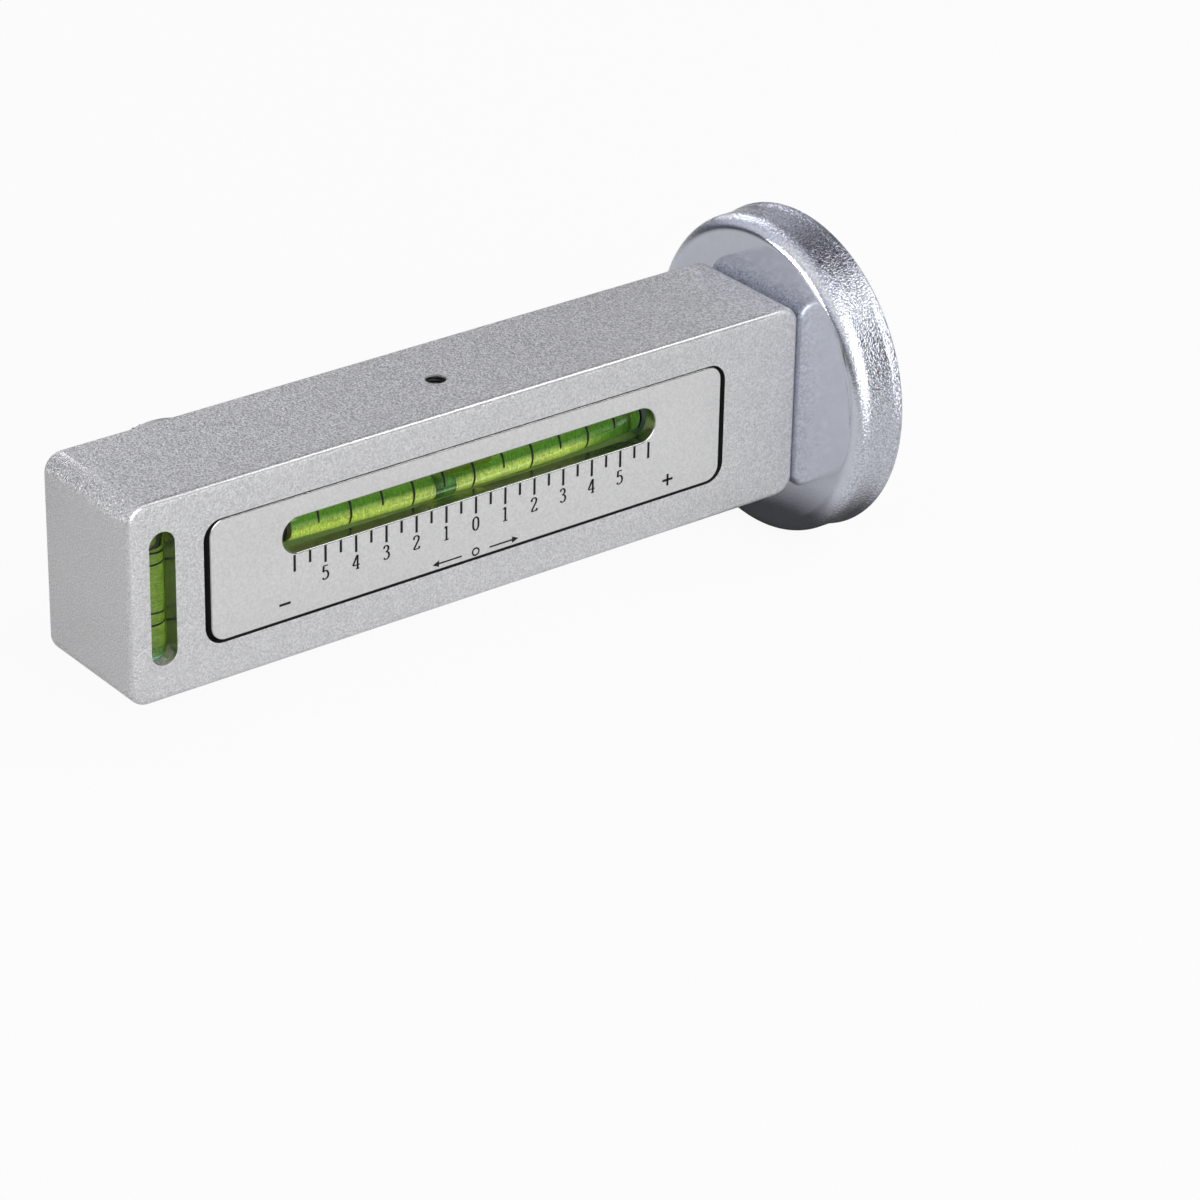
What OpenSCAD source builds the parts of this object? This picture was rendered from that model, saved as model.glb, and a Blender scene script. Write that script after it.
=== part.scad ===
// Magnetic wheel-alignment gauge: a rectangular bar with an arched camber vial in its
// front face, a small cross vial at its free end, a tilting caster vial behind, and a round
// pot magnet at the other end.
//
// Every module draws in the bar's own corner frame: x from the free end towards the magnet,
// y from the front scale face to the back face, z from the underside up. in_frame() then
// moves it so that the origin is the centre of the magnet's attaching face.

/* [Bar] */
// Length of the bar, from its free end to the magnet's back
bar_l = 114.3; // [110:0.1:140]
// Depth of the bar, from the front scale face to the back face
bar_w = 21; // [20.6:0.1:26]
// Height of the bar
bar_h = 30; // [29:0.1:36]
// Radius of the four corners of the bar's front outline
corner_r = 2.85; // [1.5:0.05:4]
// Radius that eases the edges of the front and back faces
edge_r = 0.9; // [0.3:0.05:1.2]
// Depth of the magnet's axis and of the pivot's axis behind the front face
core_y = 9.75; // [9.7:0.05:10.2]

/* [Camber plate] */
// Length of bar between its free end and the front scale plate's pocket
recess_start = 11.9; // [11:0.05:13]
// Length of bar between the front scale plate's pocket and the magnet
recess_end = 13.5; // [12:0.05:15]
// Height of bar above and below the scale plates' pockets
recess_margin = 5.65; // [5.2:0.05:6.2]
// Corner radius of the scale plates' pockets
recess_r = 2.9; // [2:0.1:4]
// How far the front pocket lies above the bar's middle
recess_lift = 0.3; // [0:0.05:0.6]
// Room that the front pocket leaves along its plate
plate_room_l = 1.7; // [0.4:0.1:2.5]
// Room that the pockets leave across their plates
plate_room_h = 0.5; // [0.2:0.1:1]
// Corner radius of the scale plates
plate_r = 2.3; // [1:0.1:3]
// Thickness of the scale plates
plate_t = 2; // [1.5:0.05:2.1]
// How far the scale plates lie below the faces of the bar
plate_setback = 0.1; // [0.05:0.05:0.2]
// Length of the front plate past each end of its window
window_margin = 11.75; // [11:0.05:14]
// Height of the windows in both plates
window_h = 5.3; // [4.5:0.1:5.8]
// How far the front window lies above the bar's middle
window_lift = 3.5; // [3.2:0.05:3.8]
// How far the camber vial's axis lies above the bar's middle
camber_lift = 2.5; // [2.4:0.05:3.2]
// How far the camber zero lies past the middle of the front pocket
zero_shift = 0.45; // [0:0.05:0.6]
// Length of bar for half a degree of camber
half_degree = 2.529; // [2.3:0.001:2.6]
// Height of a whole-degree line
long_line = 2.55; // [1.8:0.05:2.9]
// Height of a half-degree line
short_line = 1.85; // [1:0.05:2.1]
// Width of the scale lines
line_w = 0.4; // [0.2:0.02:0.5]
// Depth of the ink in the scale lines
ink_t = 0.08; // [0.04:0.01:0.15]
// Gap from a window's edge to its scale lines
line_gap = 0.2; // [0.1:0.05:0.4]

/* [Vials] */
// Outer diameter of the vials
vial_d = 5.7; // [5.4:0.05:5.8]
// Bore of the vials
vial_bore = 4.2; // [3.6:0.1:4.6]
// Radius of the arch that the camber and caster vials are bent to
arch_r = 290; // [260:1:400]
// How far the camber vial reaches past each end of the front window
vial_hidden = 2.35; // [2:0.05:2.6]
// Length of the end plugs of the vials
plug_l = 2.4; // [1.5:0.1:3]
// Length of the camber and caster bubbles
bubble_l = 10.2; // [6:0.1:12]
// Height above a vial's axis at which its liquid ends and its bubble begins
bubble_floor = 0.8; // [0.4:0.05:1.2]
// Gap above and below the camber vial in its pocket
vial_side_gap = 0.45; // [0.3:0.05:0.5]
// Gap between the camber vial's ends and its pocket
vial_end_gap = 1.2; // [1:0.1:2]
// Gap between the back of the camber vial's ends and the floor of its pocket
vial_floor_gap = 0.136; // [0.1:0.002:0.4]
// Corner radius of the vial pocket
vial_pocket_r = 1; // [0.5:0.1:1.2]
// Length of the soft collars that centre the camber vial's ends
collar_l = 2; // [1.2:0.1:2.2]
// Thickness of the printed marks on the vials
mark_t = 0.06; // [0.03:0.01:0.1]
// Gap between a vial and the marks printed on it
mark_gap = 0.02; // [0.01:0.01:0.04]
// Width of the printed marks on the vials
mark_w = 0.32; // [0.2:0.02:0.5]

/* [Cross vial] */
// Distance of the cross vial's axis from the free end
cross_x = 5.42; // [5.2:0.02:5.8]
// Depth of the cross vial's axis behind the front face
cross_y = 5; // [4.8:0.05:6]
// Height of bar left above the cross vial
cross_roof = 2.8; // [2.4:0.1:4]
// Width of the slot in front of the cross vial
cross_slot_w = 4.05; // [3:0.05:4.4]
// Height of bar above and below the slot in front of the cross vial
cross_slot_margin = 5.05; // [4.8:0.05:7]
// Spacing of the two rings on the cross vial
ring_pitch = 9; // [7:0.1:11]
// Length of the cross vial's bubble
cross_bubble_l = 4.6; // [3:0.1:6]
// Thickness of the closed end of the cross vial
cross_end_t = 1; // [0.6:0.1:1.5]
// Length of the cap that closes the cross vial's bore
cross_cap_l = 2.6; // [2:0.1:2.9]
// Depth of the cap's outer face inside the underside
cross_cap_inset = 0.4; // [0.2:0.05:0.6]
// Diameter of the cap that closes the cross vial's bore
cross_cap_d = 7.2; // [6.8:0.1:7.8]

/* [Caster side] */
// Gap between the adjuster's housing and the back scale plate's pocket
back_recess_gap = 1; // [0.5:0.05:1.5]
// Length of bar between the back scale plate's pocket and the magnet
back_recess_end = 13.55; // [12:0.05:15]
// Room that the back pocket leaves along its plate
back_room_l = 0.9; // [0.4:0.1:2]
// Length of the back plate past each end of its window
back_window_margin = 9.8; // [9:0.1:12]
// How far the caster vial's axis lies below the bar's middle
caster_drop = 5; // [4.9:0.05:5.1]
// How far the caster vial reaches past each end of the back window
caster_hidden = 3; // [2:0.1:3.4]
// Length of bar for one degree of caster
caster_degree = 3.4; // [3:0.01:3.5]
// Gap from the caster vial to the back plate, for its tilt
caster_vial_gap = 0.8; // [0.7:0.05:0.9]
// Height of the carrier
carrier_h = 6.9; // [6.6:0.05:7]
// Thickness of the carrier in front of the caster vial's ends
carrier_floor = 0.5; // [0.4:0.05:0.6]
// How far the carrier's arms wrap past the caster vial's axis
carrier_wrap = 0.5; // [0.2:0.05:0.8]
// Gap above and below the carrier in its pocket
carrier_gap = 0.25; // [0.15:0.05:0.3]
// Gap in front of the carrier, for its tilt
carrier_swing = 1.1; // [1.05:0.05:1.2]
// Length of the carrier past each end of the caster vial
carrier_end = 0.6; // [0.3:0.05:1]
// Diameter of the carrier's hub
hub_d = 6.4; // [5.6:0.1:7]
// Diameter of the pivot pin
pin_d = 3; // [2.4:0.1:3.1]
// How far the set screw above the pivot pin lies below the top face
set_screw_inset = 1.3; // [0.5:0.1:2.5]
// Length of the set screw above the pivot pin
set_screw_l = 2.5; // [2:0.1:3]
// Width across the set screw's hexagonal socket
set_socket = 1.5; // [1.2:0.1:1.7]

/* [Adjuster] */
// Distance of the adjusting screw's axis from the free end
adjuster_x = 22.4; // [22:0.1:23]
// Diameter of the adjuster's round housing
housing_d = 21.7; // [20:0.1:22.4]
// How far the housing stands out of the back face
housing_h = 8; // [5:0.1:8.2]
// Diameter of the housing's spigot
spigot_d = 18; // [16.5:0.1:18.2]
// Length of the housing's spigot
spigot_l = 2; // [1.5:0.05:2.1]
// Radius that eases the housing's rim
housing_edge = 0.6; // [0.2:0.05:1.2]
// Diameter of the adjusting screw
screw_d = 4; // [3:0.1:4.4]
// Diameter of the adjusting screw's slotted head
screw_head_d = 7; // [6:0.1:9]
// Height of the adjusting screw's slotted head
screw_head_h = 1.6; // [1:0.1:2]
// Diameter of the knurled wheel's flange
knob_d = 19.8; // [17:0.1:21]
// Thickness of the knurled wheel's flange
knob_flange_t = 1.2; // [0.8:0.1:2.4]
// Diameter of the knurled wheel's hub
knob_hub_d = 15; // [11:0.1:17]
// Thickness of the knurled wheel with its hub
knob_t = 4; // [3:0.1:4.4]
// Number of teeth of the knurl
knurl_n = 56; // [24:1:60]
// Depth of the knurl
knurl_depth = 0.4; // [0.2:0.05:0.6]
// Thickness of the spring washer under the wheel
washer_t = 0.4; // [0.3:0.05:0.6]
// Diameter of the spring washer
washer_d = 9; // [7:0.1:12]
// Thickness of the retaining clip on the screw
clip_t = 0.6; // [0.4:0.05:0.65]
// Diameter of the retaining clip
clip_d = 7.4; // [6:0.1:9]
// Depth of the groove that holds the clip
clip_groove = 0.5; // [0.3:0.05:0.7]
// Diameter of the nut in the carrier
nut_d = 7; // [6.2:0.1:7.6]
// Diameter of the carrier's head round the nut
head_d = 10; // [9:0.1:10.4]
// Thickness of the carrier's head and length of the nut
head_t = 4.6; // [3.5:0.1:4.8]

/* [Magnet] */
// Diameter of the magnet's steel cup
magnet_d = 48.1; // [40:0.1:60]
// How far the cup's lip flares out past the cup all round
lip_flare = 0.38; // [0.1:0.02:0.6]
// Thickness of the magnet
magnet_t = 7.85; // [7:0.05:12]
// Radius of the cup's shoulder
shoulder_r = 2.5; // [1:0.1:4]
// Length of the lip's flare
flare_l = 1.5; // [0.5:0.1:2.5]
// Thickness of the cup's floor
cup_floor = 3; // [2:0.1:4]
// Thickness of the cup's wall
cup_wall = 2.6; // [1.5:0.1:4]
// Radial width of the resin between the ferrite ring and the steel
resin_w = 0.7; // [0.3:0.05:1.5]
// How far the ferrite ring lies below the cup's rim
ferrite_inset = 0.35; // [0.1:0.05:0.8]
// Diameter of the steel core in the middle of the magnet
core_d = 15; // [13.4:0.1:20]
// Diameter of the screw that holds the magnet
magnet_screw_d = 6; // [4:0.1:7]
// Diameter of that screw's countersunk head
magnet_head_d = 11.2; // [9:0.1:12.4]
// How far that screw reaches into the bar
magnet_screw_grip = 10; // [7:0.1:12]
// How far the screw's head lies below the magnet's face
magnet_head_inset = 0.4; // [0.2:0.05:0.8]
// Width across the flats of that screw's hexagonal socket
magnet_socket = 4; // [3:0.1:5]

/* [Fits] */
// Radial gap of a running fit
run_gap = 0.06; // [0.03:0.01:0.09]
// Radial gap of a glued or screwed fit
fit_gap = 0.03; // [0.02:0.01:0.06]
// Gap between a vial and the solid round it
vial_gap = 0.15; // [0.1:0.05:0.2]
// Gap between a bubble and the liquid or the glass round it
bubble_gap = 0.1; // [0.05:0.05:0.15]
// Radial gap between the adjusting screw and its nut, for the carrier's tilt
nut_gap = 0.3; // [0.2:0.05:0.4]

/* [Hidden] */

// Facets of round shapes, of the big arch's full circle and of the bar's eased corners
round_fn = 48;
arch_fn = 720;
corner_fn = 32;
edge_steps = 4;
// Overrun of every cut past the face that it opens
cut = 1;
// Ratio of a hexagon's corner circle to its width across the flats
hex_corner = 1 / cos(30);

vial_r = vial_d / 2;
bore_r = vial_bore / 2;
recess_d = plate_setback + plate_t;
recess_h = bar_h - 2 * recess_margin;
plate_h = recess_h - plate_room_h;
plug_deg = arc_deg(plug_l);
bubble_half = arc_deg(bubble_l / 2);

// The front pocket, its plate and the window in it
recess_l = bar_l - recess_start - recess_end;
recess_x = recess_start + recess_l / 2;
recess_z = bar_h / 2 + recess_lift;
plate_l = recess_l - plate_room_l;
window_l = plate_l - 2 * window_margin;
window_z = bar_h / 2 + window_lift;
zero_x = recess_x + zero_shift;

// The camber vial, its pocket and its marks: as many whole degrees as the window shows, long
// and short in turn, as arcs of glass
camber_vial_l = window_l + 2 * vial_hidden;
camber_y = recess_d + vial_gap + vial_r;
camber_z = bar_h / 2 + camber_lift;
camber_half = arc_deg(camber_vial_l / 2);
camber_sag = arch_r * (1 - cos(camber_half));
camber_degrees = floor(window_l / 4 / half_degree);
vial_pocket_l = camber_vial_l + 2 * vial_end_gap;
vial_pocket_h = vial_d + 2 * vial_side_gap;
vial_pocket_y = camber_y + camber_sag + vial_r + vial_floor_gap;
long_mark_deg = 130;
short_mark_deg = 94;

// The front plate sits a little to the right in its pocket, and its window to the left
plate_shift = 0.2;
window_shift = -0.35;

// The cross vial stands on its cap, and its slot is a little above the bar's middle
cross_base = cross_cap_inset + cross_cap_l;
cross_vial_l = bar_h - cross_base - cross_roof;
cross_slot_l = bar_h - 2 * cross_slot_margin;
cross_top = cross_base + cross_vial_l - cross_end_t;
cross_bore_r = vial_r + vial_gap + mark_gap + mark_t;
cross_slot_shift = 0.35;
cross_slot_z = bar_h / 2 + cross_slot_shift;
cap_slot_w = 1;
cap_slot_d = 0.8;

// The back pocket, its plate, the window in it and as many degrees as the bubble can show
back_recess_start = adjuster_x + housing_d / 2 + back_recess_gap;
back_recess_l = bar_l - back_recess_start - back_recess_end;
back_plate_l = back_recess_l - back_room_l;
back_window_l = back_plate_l - 2 * back_window_margin;
caster_degrees = floor((back_window_l - bubble_l) / 2 / caster_degree);

// The caster vial, its carrier and the pocket that they tilt in
caster_x = back_recess_start + back_recess_l / 2;
caster_z = bar_h / 2 - caster_drop;
caster_vial_l = back_window_l + 2 * caster_hidden;
caster_y = bar_w - recess_d - caster_vial_gap - vial_r;
caster_half = arc_deg(caster_vial_l / 2);
caster_sag = arch_r * (1 - cos(caster_half));
back_mark_deg = 130;
pivot_x = zero_x;
pin_base = 1.6;
set_screw_z = bar_h - set_screw_inset - set_screw_l;
pin_l = set_screw_z - pin_base;
carrier_front = caster_y - caster_sag - vial_r - carrier_floor;
carrier_back = caster_y + carrier_wrap;
carrier_right = caster_x + caster_vial_l / 2 + carrier_end;
carrier_low = caster_z - carrier_h / 2;
carrier_high = caster_z + carrier_h / 2;
carrier_pocket_y = carrier_front - carrier_swing;
pocket_right = carrier_right + carrier_swing;
bridge_t = 2.6;

// The adjuster, from the tip of its screw inside the bar to the wheel behind it
adjuster_z = bar_h / 2;
head_y = caster_y - vial_r;
head_pocket_y = head_y - carrier_swing;
screw_tip_out = 0.4;
screw_tip_y = head_y - screw_tip_out;
clip_y = bar_w - spigot_l - clip_t;
knob_y = bar_w + housing_h + washer_t;
screw_slot_w = 0.9;
screw_slot_d = 0.8;
// Where each knurl tooth has its corners, as shares of the tooth's pitch
knurl_shares = [0, 0.3, 0.5, 0.8];

// The magnet, from the bar's end outwards
ferrite_top = magnet_t - ferrite_inset;
lip_ease = 0.3;
lip_d = magnet_d + 2 * lip_flare;
socket_d = 2.4;
head_cone = (magnet_head_d - magnet_screw_d) / 2;
magnet_fn = 96;

// Angle along the vials' arch, in degrees, of a length measured on it
function arc_deg(len) = len / arch_r * 180 / PI;

// Points of a quarter circle about (cx, cy), from angle a0 on through 90 degrees
function quarter(cx, cy, r, a0) =
    [for (i = [0:edge_steps]) let (a = a0 + i * 90 / edge_steps)
        [cx + r * cos(a), cy + r * sin(a)]];

// Moves the corner frame so that the origin is the centre of the magnet's face
module in_frame() {
    translate([-(bar_l + magnet_t), -core_y, -bar_h / 2]) children();
}

// Cylinder along +Y from depth y0
module round_y(x, z, y0, len, r) {
    translate([x, y0, z]) rotate([-90, 0, 0]) cylinder(r = r, h = len, $fn = round_fn);
}

// Cylinder along +Z from height z0
module round_z(x, y, z0, len, r) {
    translate([x, y, z0]) cylinder(r = r, h = len, $fn = round_fn);
}

// Rectangle with round corners, centred, made of plain squares and circles
module round_rect(l, h, r) {
    square([l - 2 * r, h], center = true);
    square([l, h - 2 * r], center = true);
    for (x = [-1, 1], y = [-1, 1])
        translate([x * (l / 2 - r), y * (h / 2 - r)]) circle(r = r, $fn = round_fn);
}

// Slab of a rounded rectangle that runs along +Y from depth y0
module slab_y(x, z, l, h, r, y0, t) {
    translate([x, y0, z]) rotate([-90, 0, 0]) linear_extrude(t) round_rect(l, h, r);
}

// Box between two corners
module block(a, b) {
    translate(a) cube(b - a);
}

// Piece of an arched rod of radius r, from angle a0 to a1 along the arch. Its apex is at
// (x, y, z), and it bulges to the front for side -1 and to the back for side 1.
module arched(x, y, z, side, r, a0, a1) {
    start = side < 0 ? a0 - 90 : 90 - a1;
    translate([x, y - side * arch_r, z]) rotate([0, 0, start])
        rotate_extrude(angle = a1 - a0, $fn = arch_fn)
            translate([arch_r, 0]) circle(r = r, $fn = corner_fn);
}

// Places its children on the vial's axis at angle a along the arch
module on_arch(x, y, z, side, a) {
    translate([x, y - side * arch_r, z]) rotate([0, 0, -side * a])
        translate([0, side * arch_r, 0]) children();
}

// Thin band printed round a vial that lies along X: it starts at turn a0 and runs span
module print_band(a0, span) {
    rotate([0, 90, 0]) rotate([0, 0, a0]) rotate_extrude(angle = span, $fn = round_fn)
        translate([vial_r + mark_gap, -mark_w / 2]) square([mark_t, mark_w]);
}

// Arched glass tube, its liquid, its bubble and its two end plugs
module arched_tube(x, y, z, side, half) {
    difference() {
        arched(x, y, z, side, vial_r, -half, half);
        arched(x, y, z, side, bore_r, -half - plug_deg, half + plug_deg);
    }
}

module arched_plugs(x, y, z, side, half) {
    r = bore_r - fit_gap;
    arched(x, y, z, side, r, half - plug_deg, half);
    arched(x, y, z, side, r, -half, plug_deg - half);
}

module arched_liquid(x, y, z, side, half) {
    inner = half - plug_deg;
    difference() {
        arched(x, y, z, side, bore_r - fit_gap, -inner, inner);
        translate([x - camber_vial_l, y - vial_d * 2, z + bubble_floor])
            cube([camber_vial_l * 2, vial_d * 4, vial_d]);
    }
}

module arched_bubble(x, y, z, side) {
    intersection() {
        arched(x, y, z, side, bore_r - bubble_gap, -bubble_half, bubble_half);
        translate([x - bubble_l, y - vial_d * 2, z + bubble_floor + bubble_gap])
            cube([bubble_l * 2, vial_d * 4, vial_d]);
    }
}

// One corner post of the bar, standing along Y, with eased ends
module corner_post() {
    rotate([-90, 0, 0]) rotate_extrude($fn = corner_fn)
        polygon(concat([[0, 0]],
            quarter(corner_r - edge_r, edge_r, edge_r, -90),
            quarter(corner_r - edge_r, bar_w - edge_r, edge_r, 0),
            [[0, bar_w]]));
}

module bar_blank() {
    hull()
        for (x = [corner_r, bar_l - corner_r], z = [corner_r, bar_h - corner_r])
            translate([x, 0, z]) corner_post();
}

module cross_bores() {
    round_z(cross_x, cross_y, 0, cross_base + cross_vial_l, cross_bore_r);
    round_z(cross_x, cross_y, -cut, cross_base + cut, cross_cap_d / 2 + fit_gap);
    slab_y(cross_x, cross_slot_z, cross_slot_w, cross_slot_l, cross_slot_w / 2 - fit_gap,
        -cut, cross_y + cut);
}

// Pocket for the carrier: its long slot, the room for its hub and the room for its head
module carrier_pocket() {
    low = carrier_low - carrier_gap;
    high = carrier_high + carrier_gap;
    hub_r = hub_d / 2 + carrier_gap;
    block([adjuster_x, carrier_pocket_y, low], [pocket_right, bar_w - bridge_t, high]);
    block([caster_x - back_window_l / 2, carrier_pocket_y, low],
        [pocket_right, bar_w - recess_d + cut, high]);
    round_z(pivot_x, core_y, low, high - low, hub_r);
    block([pivot_x - hub_r, core_y, low], [pivot_x + hub_r, caster_y, high]);
    round_y(adjuster_x, adjuster_z, head_pocket_y, bar_w - head_pocket_y + cut,
        spigot_d / 2 + fit_gap);
}

module bar_body() {
    color("silver") in_frame() difference() {
        bar_blank();
        slab_y(recess_x, recess_z, recess_l, recess_h, recess_r, -cut, recess_d + cut);
        slab_y(zero_x, camber_z, vial_pocket_l, vial_pocket_h, vial_pocket_r, 0,
            vial_pocket_y);
        slab_y(caster_x, bar_h / 2, back_recess_l, recess_h, recess_r, bar_w - recess_d,
            recess_d + cut);
        cross_bores();
        carrier_pocket();
        round_z(pivot_x, core_y, -cut, bar_h + 2 * cut, pin_d / 2 + fit_gap);
        translate([bar_l - magnet_screw_grip - cut, core_y, bar_h / 2]) rotate([0, 90, 0])
            cylinder(r = magnet_screw_d / 2 + fit_gap, h = magnet_screw_grip + 2 * cut,
                $fn = round_fn);
    }
}

// Lines of the camber scale, as prisms t deep that end t below the plate's face
module camber_lines(y0, t) {
    top = window_z - window_h / 2 - line_gap;
    for (k = [-2 * camber_degrees:2 * camber_degrees]) {
        len = k % 2 == 0 ? long_line : short_line;
        block([zero_x + k * half_degree - line_w / 2, y0, top - len],
            [zero_x + k * half_degree + line_w / 2, y0 + t, top]);
    }
}

module camber_plate() {
    color("gainsboro") in_frame() difference() {
        slab_y(recess_x + plate_shift, recess_z, plate_l, plate_h, plate_r, plate_setback,
            plate_t);
        slab_y(zero_x + window_shift, window_z, window_l, window_h, window_h / 2 - fit_gap,
            0, recess_d + cut);
        camber_lines(plate_setback - ink_t, 2 * ink_t);
    }
}

module camber_scale_lines() {
    color("black") in_frame() camber_lines(plate_setback, ink_t);
}

module camber_vial() {
    color("palegreen", 0.5) in_frame()
        arched_tube(zero_x, camber_y, camber_z, -1, camber_half);
}

module camber_vial_plugs() {
    color("darkgreen") in_frame()
        arched_plugs(zero_x, camber_y, camber_z, -1, camber_half);
}

// Two soft collars that fill the pocket round the vial's ends, behind the plate
module camber_vial_collars() {
    reach = camber_vial_l / 2 - fit_gap;
    half = vial_pocket_h / 2 - fit_gap;
    color("dimgray") in_frame() difference() {
        for (side = [-1, 1])
            block([zero_x + (side < 0 ? -reach : reach - collar_l), recess_d, camber_z - half],
                [zero_x + (side < 0 ? collar_l - reach : reach), vial_pocket_y,
                    camber_z + half]);
        arched(zero_x, camber_y, camber_z, -1, vial_r + fit_gap, -camber_half - plug_deg,
            camber_half + plug_deg);
    }
}

module camber_vial_marks() {
    color("black") in_frame() for (k = [-camber_degrees:camber_degrees])
        on_arch(zero_x, camber_y, camber_z, -1, arc_deg(2 * k * half_degree))
            print_band(180, k % 2 == 0 ? long_mark_deg : short_mark_deg);
}

module camber_liquid() {
    color("yellowgreen") in_frame()
        arched_liquid(zero_x, camber_y, camber_z, -1, camber_half);
}

module camber_bubble() {
    color("honeydew") in_frame() arched_bubble(zero_x, camber_y, camber_z, -1);
}

module cross_vial() {
    color("palegreen", 0.5) in_frame() difference() {
        round_z(cross_x, cross_y, cross_base, cross_vial_l, vial_r);
        round_z(cross_x, cross_y, cross_base - cut, cross_top - cross_base + cut, bore_r);
    }
}

module cross_vial_plug() {
    color("darkgreen") in_frame()
        round_z(cross_x, cross_y, cross_base, plug_l, bore_r - fit_gap);
}

module cross_vial_rings() {
    color("black") in_frame() for (side = [-1, 1])
        translate([cross_x, cross_y, bar_h / 2 + side * ring_pitch / 2])
            rotate([0, 90, 0]) print_band(0, 360);
}

module cross_liquid() {
    color("yellowgreen") in_frame() difference() {
        round_z(cross_x, cross_y, cross_base + plug_l, cross_top - cross_base - plug_l,
            bore_r - fit_gap);
        translate([cross_x - vial_r, cross_y - bubble_floor - vial_d, cross_base])
            cube([vial_d, vial_d, cross_vial_l]);
    }
}

module cross_bubble() {
    color("honeydew") in_frame() intersection() {
        round_z(cross_x, cross_y, cross_top - bubble_gap - cross_bubble_l, cross_bubble_l,
            bore_r - bubble_gap);
        translate([cross_x - vial_r, cross_y - bubble_floor - bubble_gap - vial_d,
            cross_base])
            cube([vial_d, vial_d, cross_vial_l]);
    }
}

module cross_vial_cap() {
    color("gray") in_frame() difference() {
        round_z(cross_x, cross_y, cross_cap_inset, cross_cap_l, cross_cap_d / 2);
        translate([cross_x - cross_cap_d, cross_y - cap_slot_w / 2, cross_cap_inset - cut])
            cube([2 * cross_cap_d, cap_slot_w, cut + cap_slot_d]);
    }
}

// Lines of the caster scale, beyond the window and away from it, read from above when the
// gauge is turned over
module caster_lines(y0, t) {
    low = caster_z + window_h / 2 + line_gap;
    for (k = [-caster_degrees:caster_degrees]) {
        len = k % 3 == 0 ? long_line : short_line;
        block([caster_x + k * caster_degree - line_w / 2, y0, low],
            [caster_x + k * caster_degree + line_w / 2, y0 + t, low + len]);
    }
}

module back_plate() {
    face = bar_w - plate_setback;
    color("gainsboro") in_frame() difference() {
        slab_y(caster_x, bar_h / 2, back_plate_l, plate_h, plate_r, face - plate_t, plate_t);
        slab_y(caster_x, caster_z, back_window_l, window_h, window_h / 2 - fit_gap,
            face - plate_t - cut, plate_t + 2 * cut);
        caster_lines(face - ink_t, 2 * ink_t);
    }
}

module back_scale_lines() {
    color("black") in_frame() caster_lines(bar_w - plate_setback - ink_t, ink_t);
}

module caster_carrier() {
    seat_r = vial_r + fit_gap;
    seat_half = caster_half + arc_deg(fit_gap);
    color("dimgray") in_frame() difference() {
        union() {
            block([adjuster_x + screw_d, carrier_front, carrier_low],
                [carrier_right, carrier_back, carrier_high]);
            round_z(pivot_x, core_y, carrier_low, carrier_h, hub_d / 2);
            block([pivot_x - hub_d / 2, core_y, carrier_low],
                [pivot_x + hub_d / 2, carrier_back, carrier_high]);
            round_y(adjuster_x, adjuster_z, head_y, head_t, head_d / 2);
            block([adjuster_x, head_y, carrier_low],
                [adjuster_x + head_d / 2, carrier_back, adjuster_z]);
        }
        arched(caster_x, caster_y, caster_z, 1, seat_r, -seat_half, seat_half);
        block([caster_x - caster_vial_l / 2 - fit_gap, caster_y, caster_z - seat_r],
            [caster_x + caster_vial_l / 2 + fit_gap, carrier_back + cut, caster_z + seat_r]);
        round_z(pivot_x, core_y, carrier_low - cut, carrier_h + 2 * cut,
            pin_d / 2 + run_gap);
        round_y(adjuster_x, adjuster_z, carrier_front - cut, head_t + spigot_d,
            nut_d / 2 + fit_gap);
    }
}

module caster_vial() {
    color("palegreen", 0.5) in_frame()
        arched_tube(caster_x, caster_y, caster_z, 1, caster_half);
}

module caster_vial_plugs() {
    color("darkgreen") in_frame()
        arched_plugs(caster_x, caster_y, caster_z, 1, caster_half);
}

module caster_vial_marks() {
    color("black") in_frame() for (k = [-1, 0, 1])
        on_arch(caster_x, caster_y, caster_z, 1, arc_deg(3 * k * caster_degree))
            print_band(0, back_mark_deg);
}

module caster_liquid() {
    color("yellowgreen") in_frame()
        arched_liquid(caster_x, caster_y, caster_z, 1, caster_half);
}

module caster_bubble() {
    color("honeydew") in_frame() arched_bubble(caster_x, caster_y, caster_z, 1);
}

module pivot_pin() {
    color("dimgray") in_frame() round_z(pivot_x, core_y, pin_base, pin_l, pin_d / 2);
}

module pivot_set_screw() {
    color("dimgray") in_frame() difference() {
        round_z(pivot_x, core_y, set_screw_z, set_screw_l, pin_d / 2);
        translate([pivot_x, core_y, set_screw_z + set_screw_l / 2])
            cylinder(r = set_socket / 2 * hex_corner, h = set_screw_l, $fn = 6);
    }
}

module adjuster_housing() {
    color("silver") in_frame() difference() {
        translate([adjuster_x, bar_w - spigot_l, adjuster_z]) rotate([-90, 0, 0])
            rotate_extrude($fn = round_fn) polygon(concat(
                [[0, 0], [spigot_d / 2, 0], [spigot_d / 2, spigot_l],
                    [housing_d / 2, spigot_l]],
                quarter(housing_d / 2 - housing_edge, spigot_l + housing_h - housing_edge,
                    housing_edge, 0),
                [[0, spigot_l + housing_h]]));
        round_y(adjuster_x, adjuster_z, 0, knob_y + cut, screw_d / 2 + run_gap);
    }
}

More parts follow.
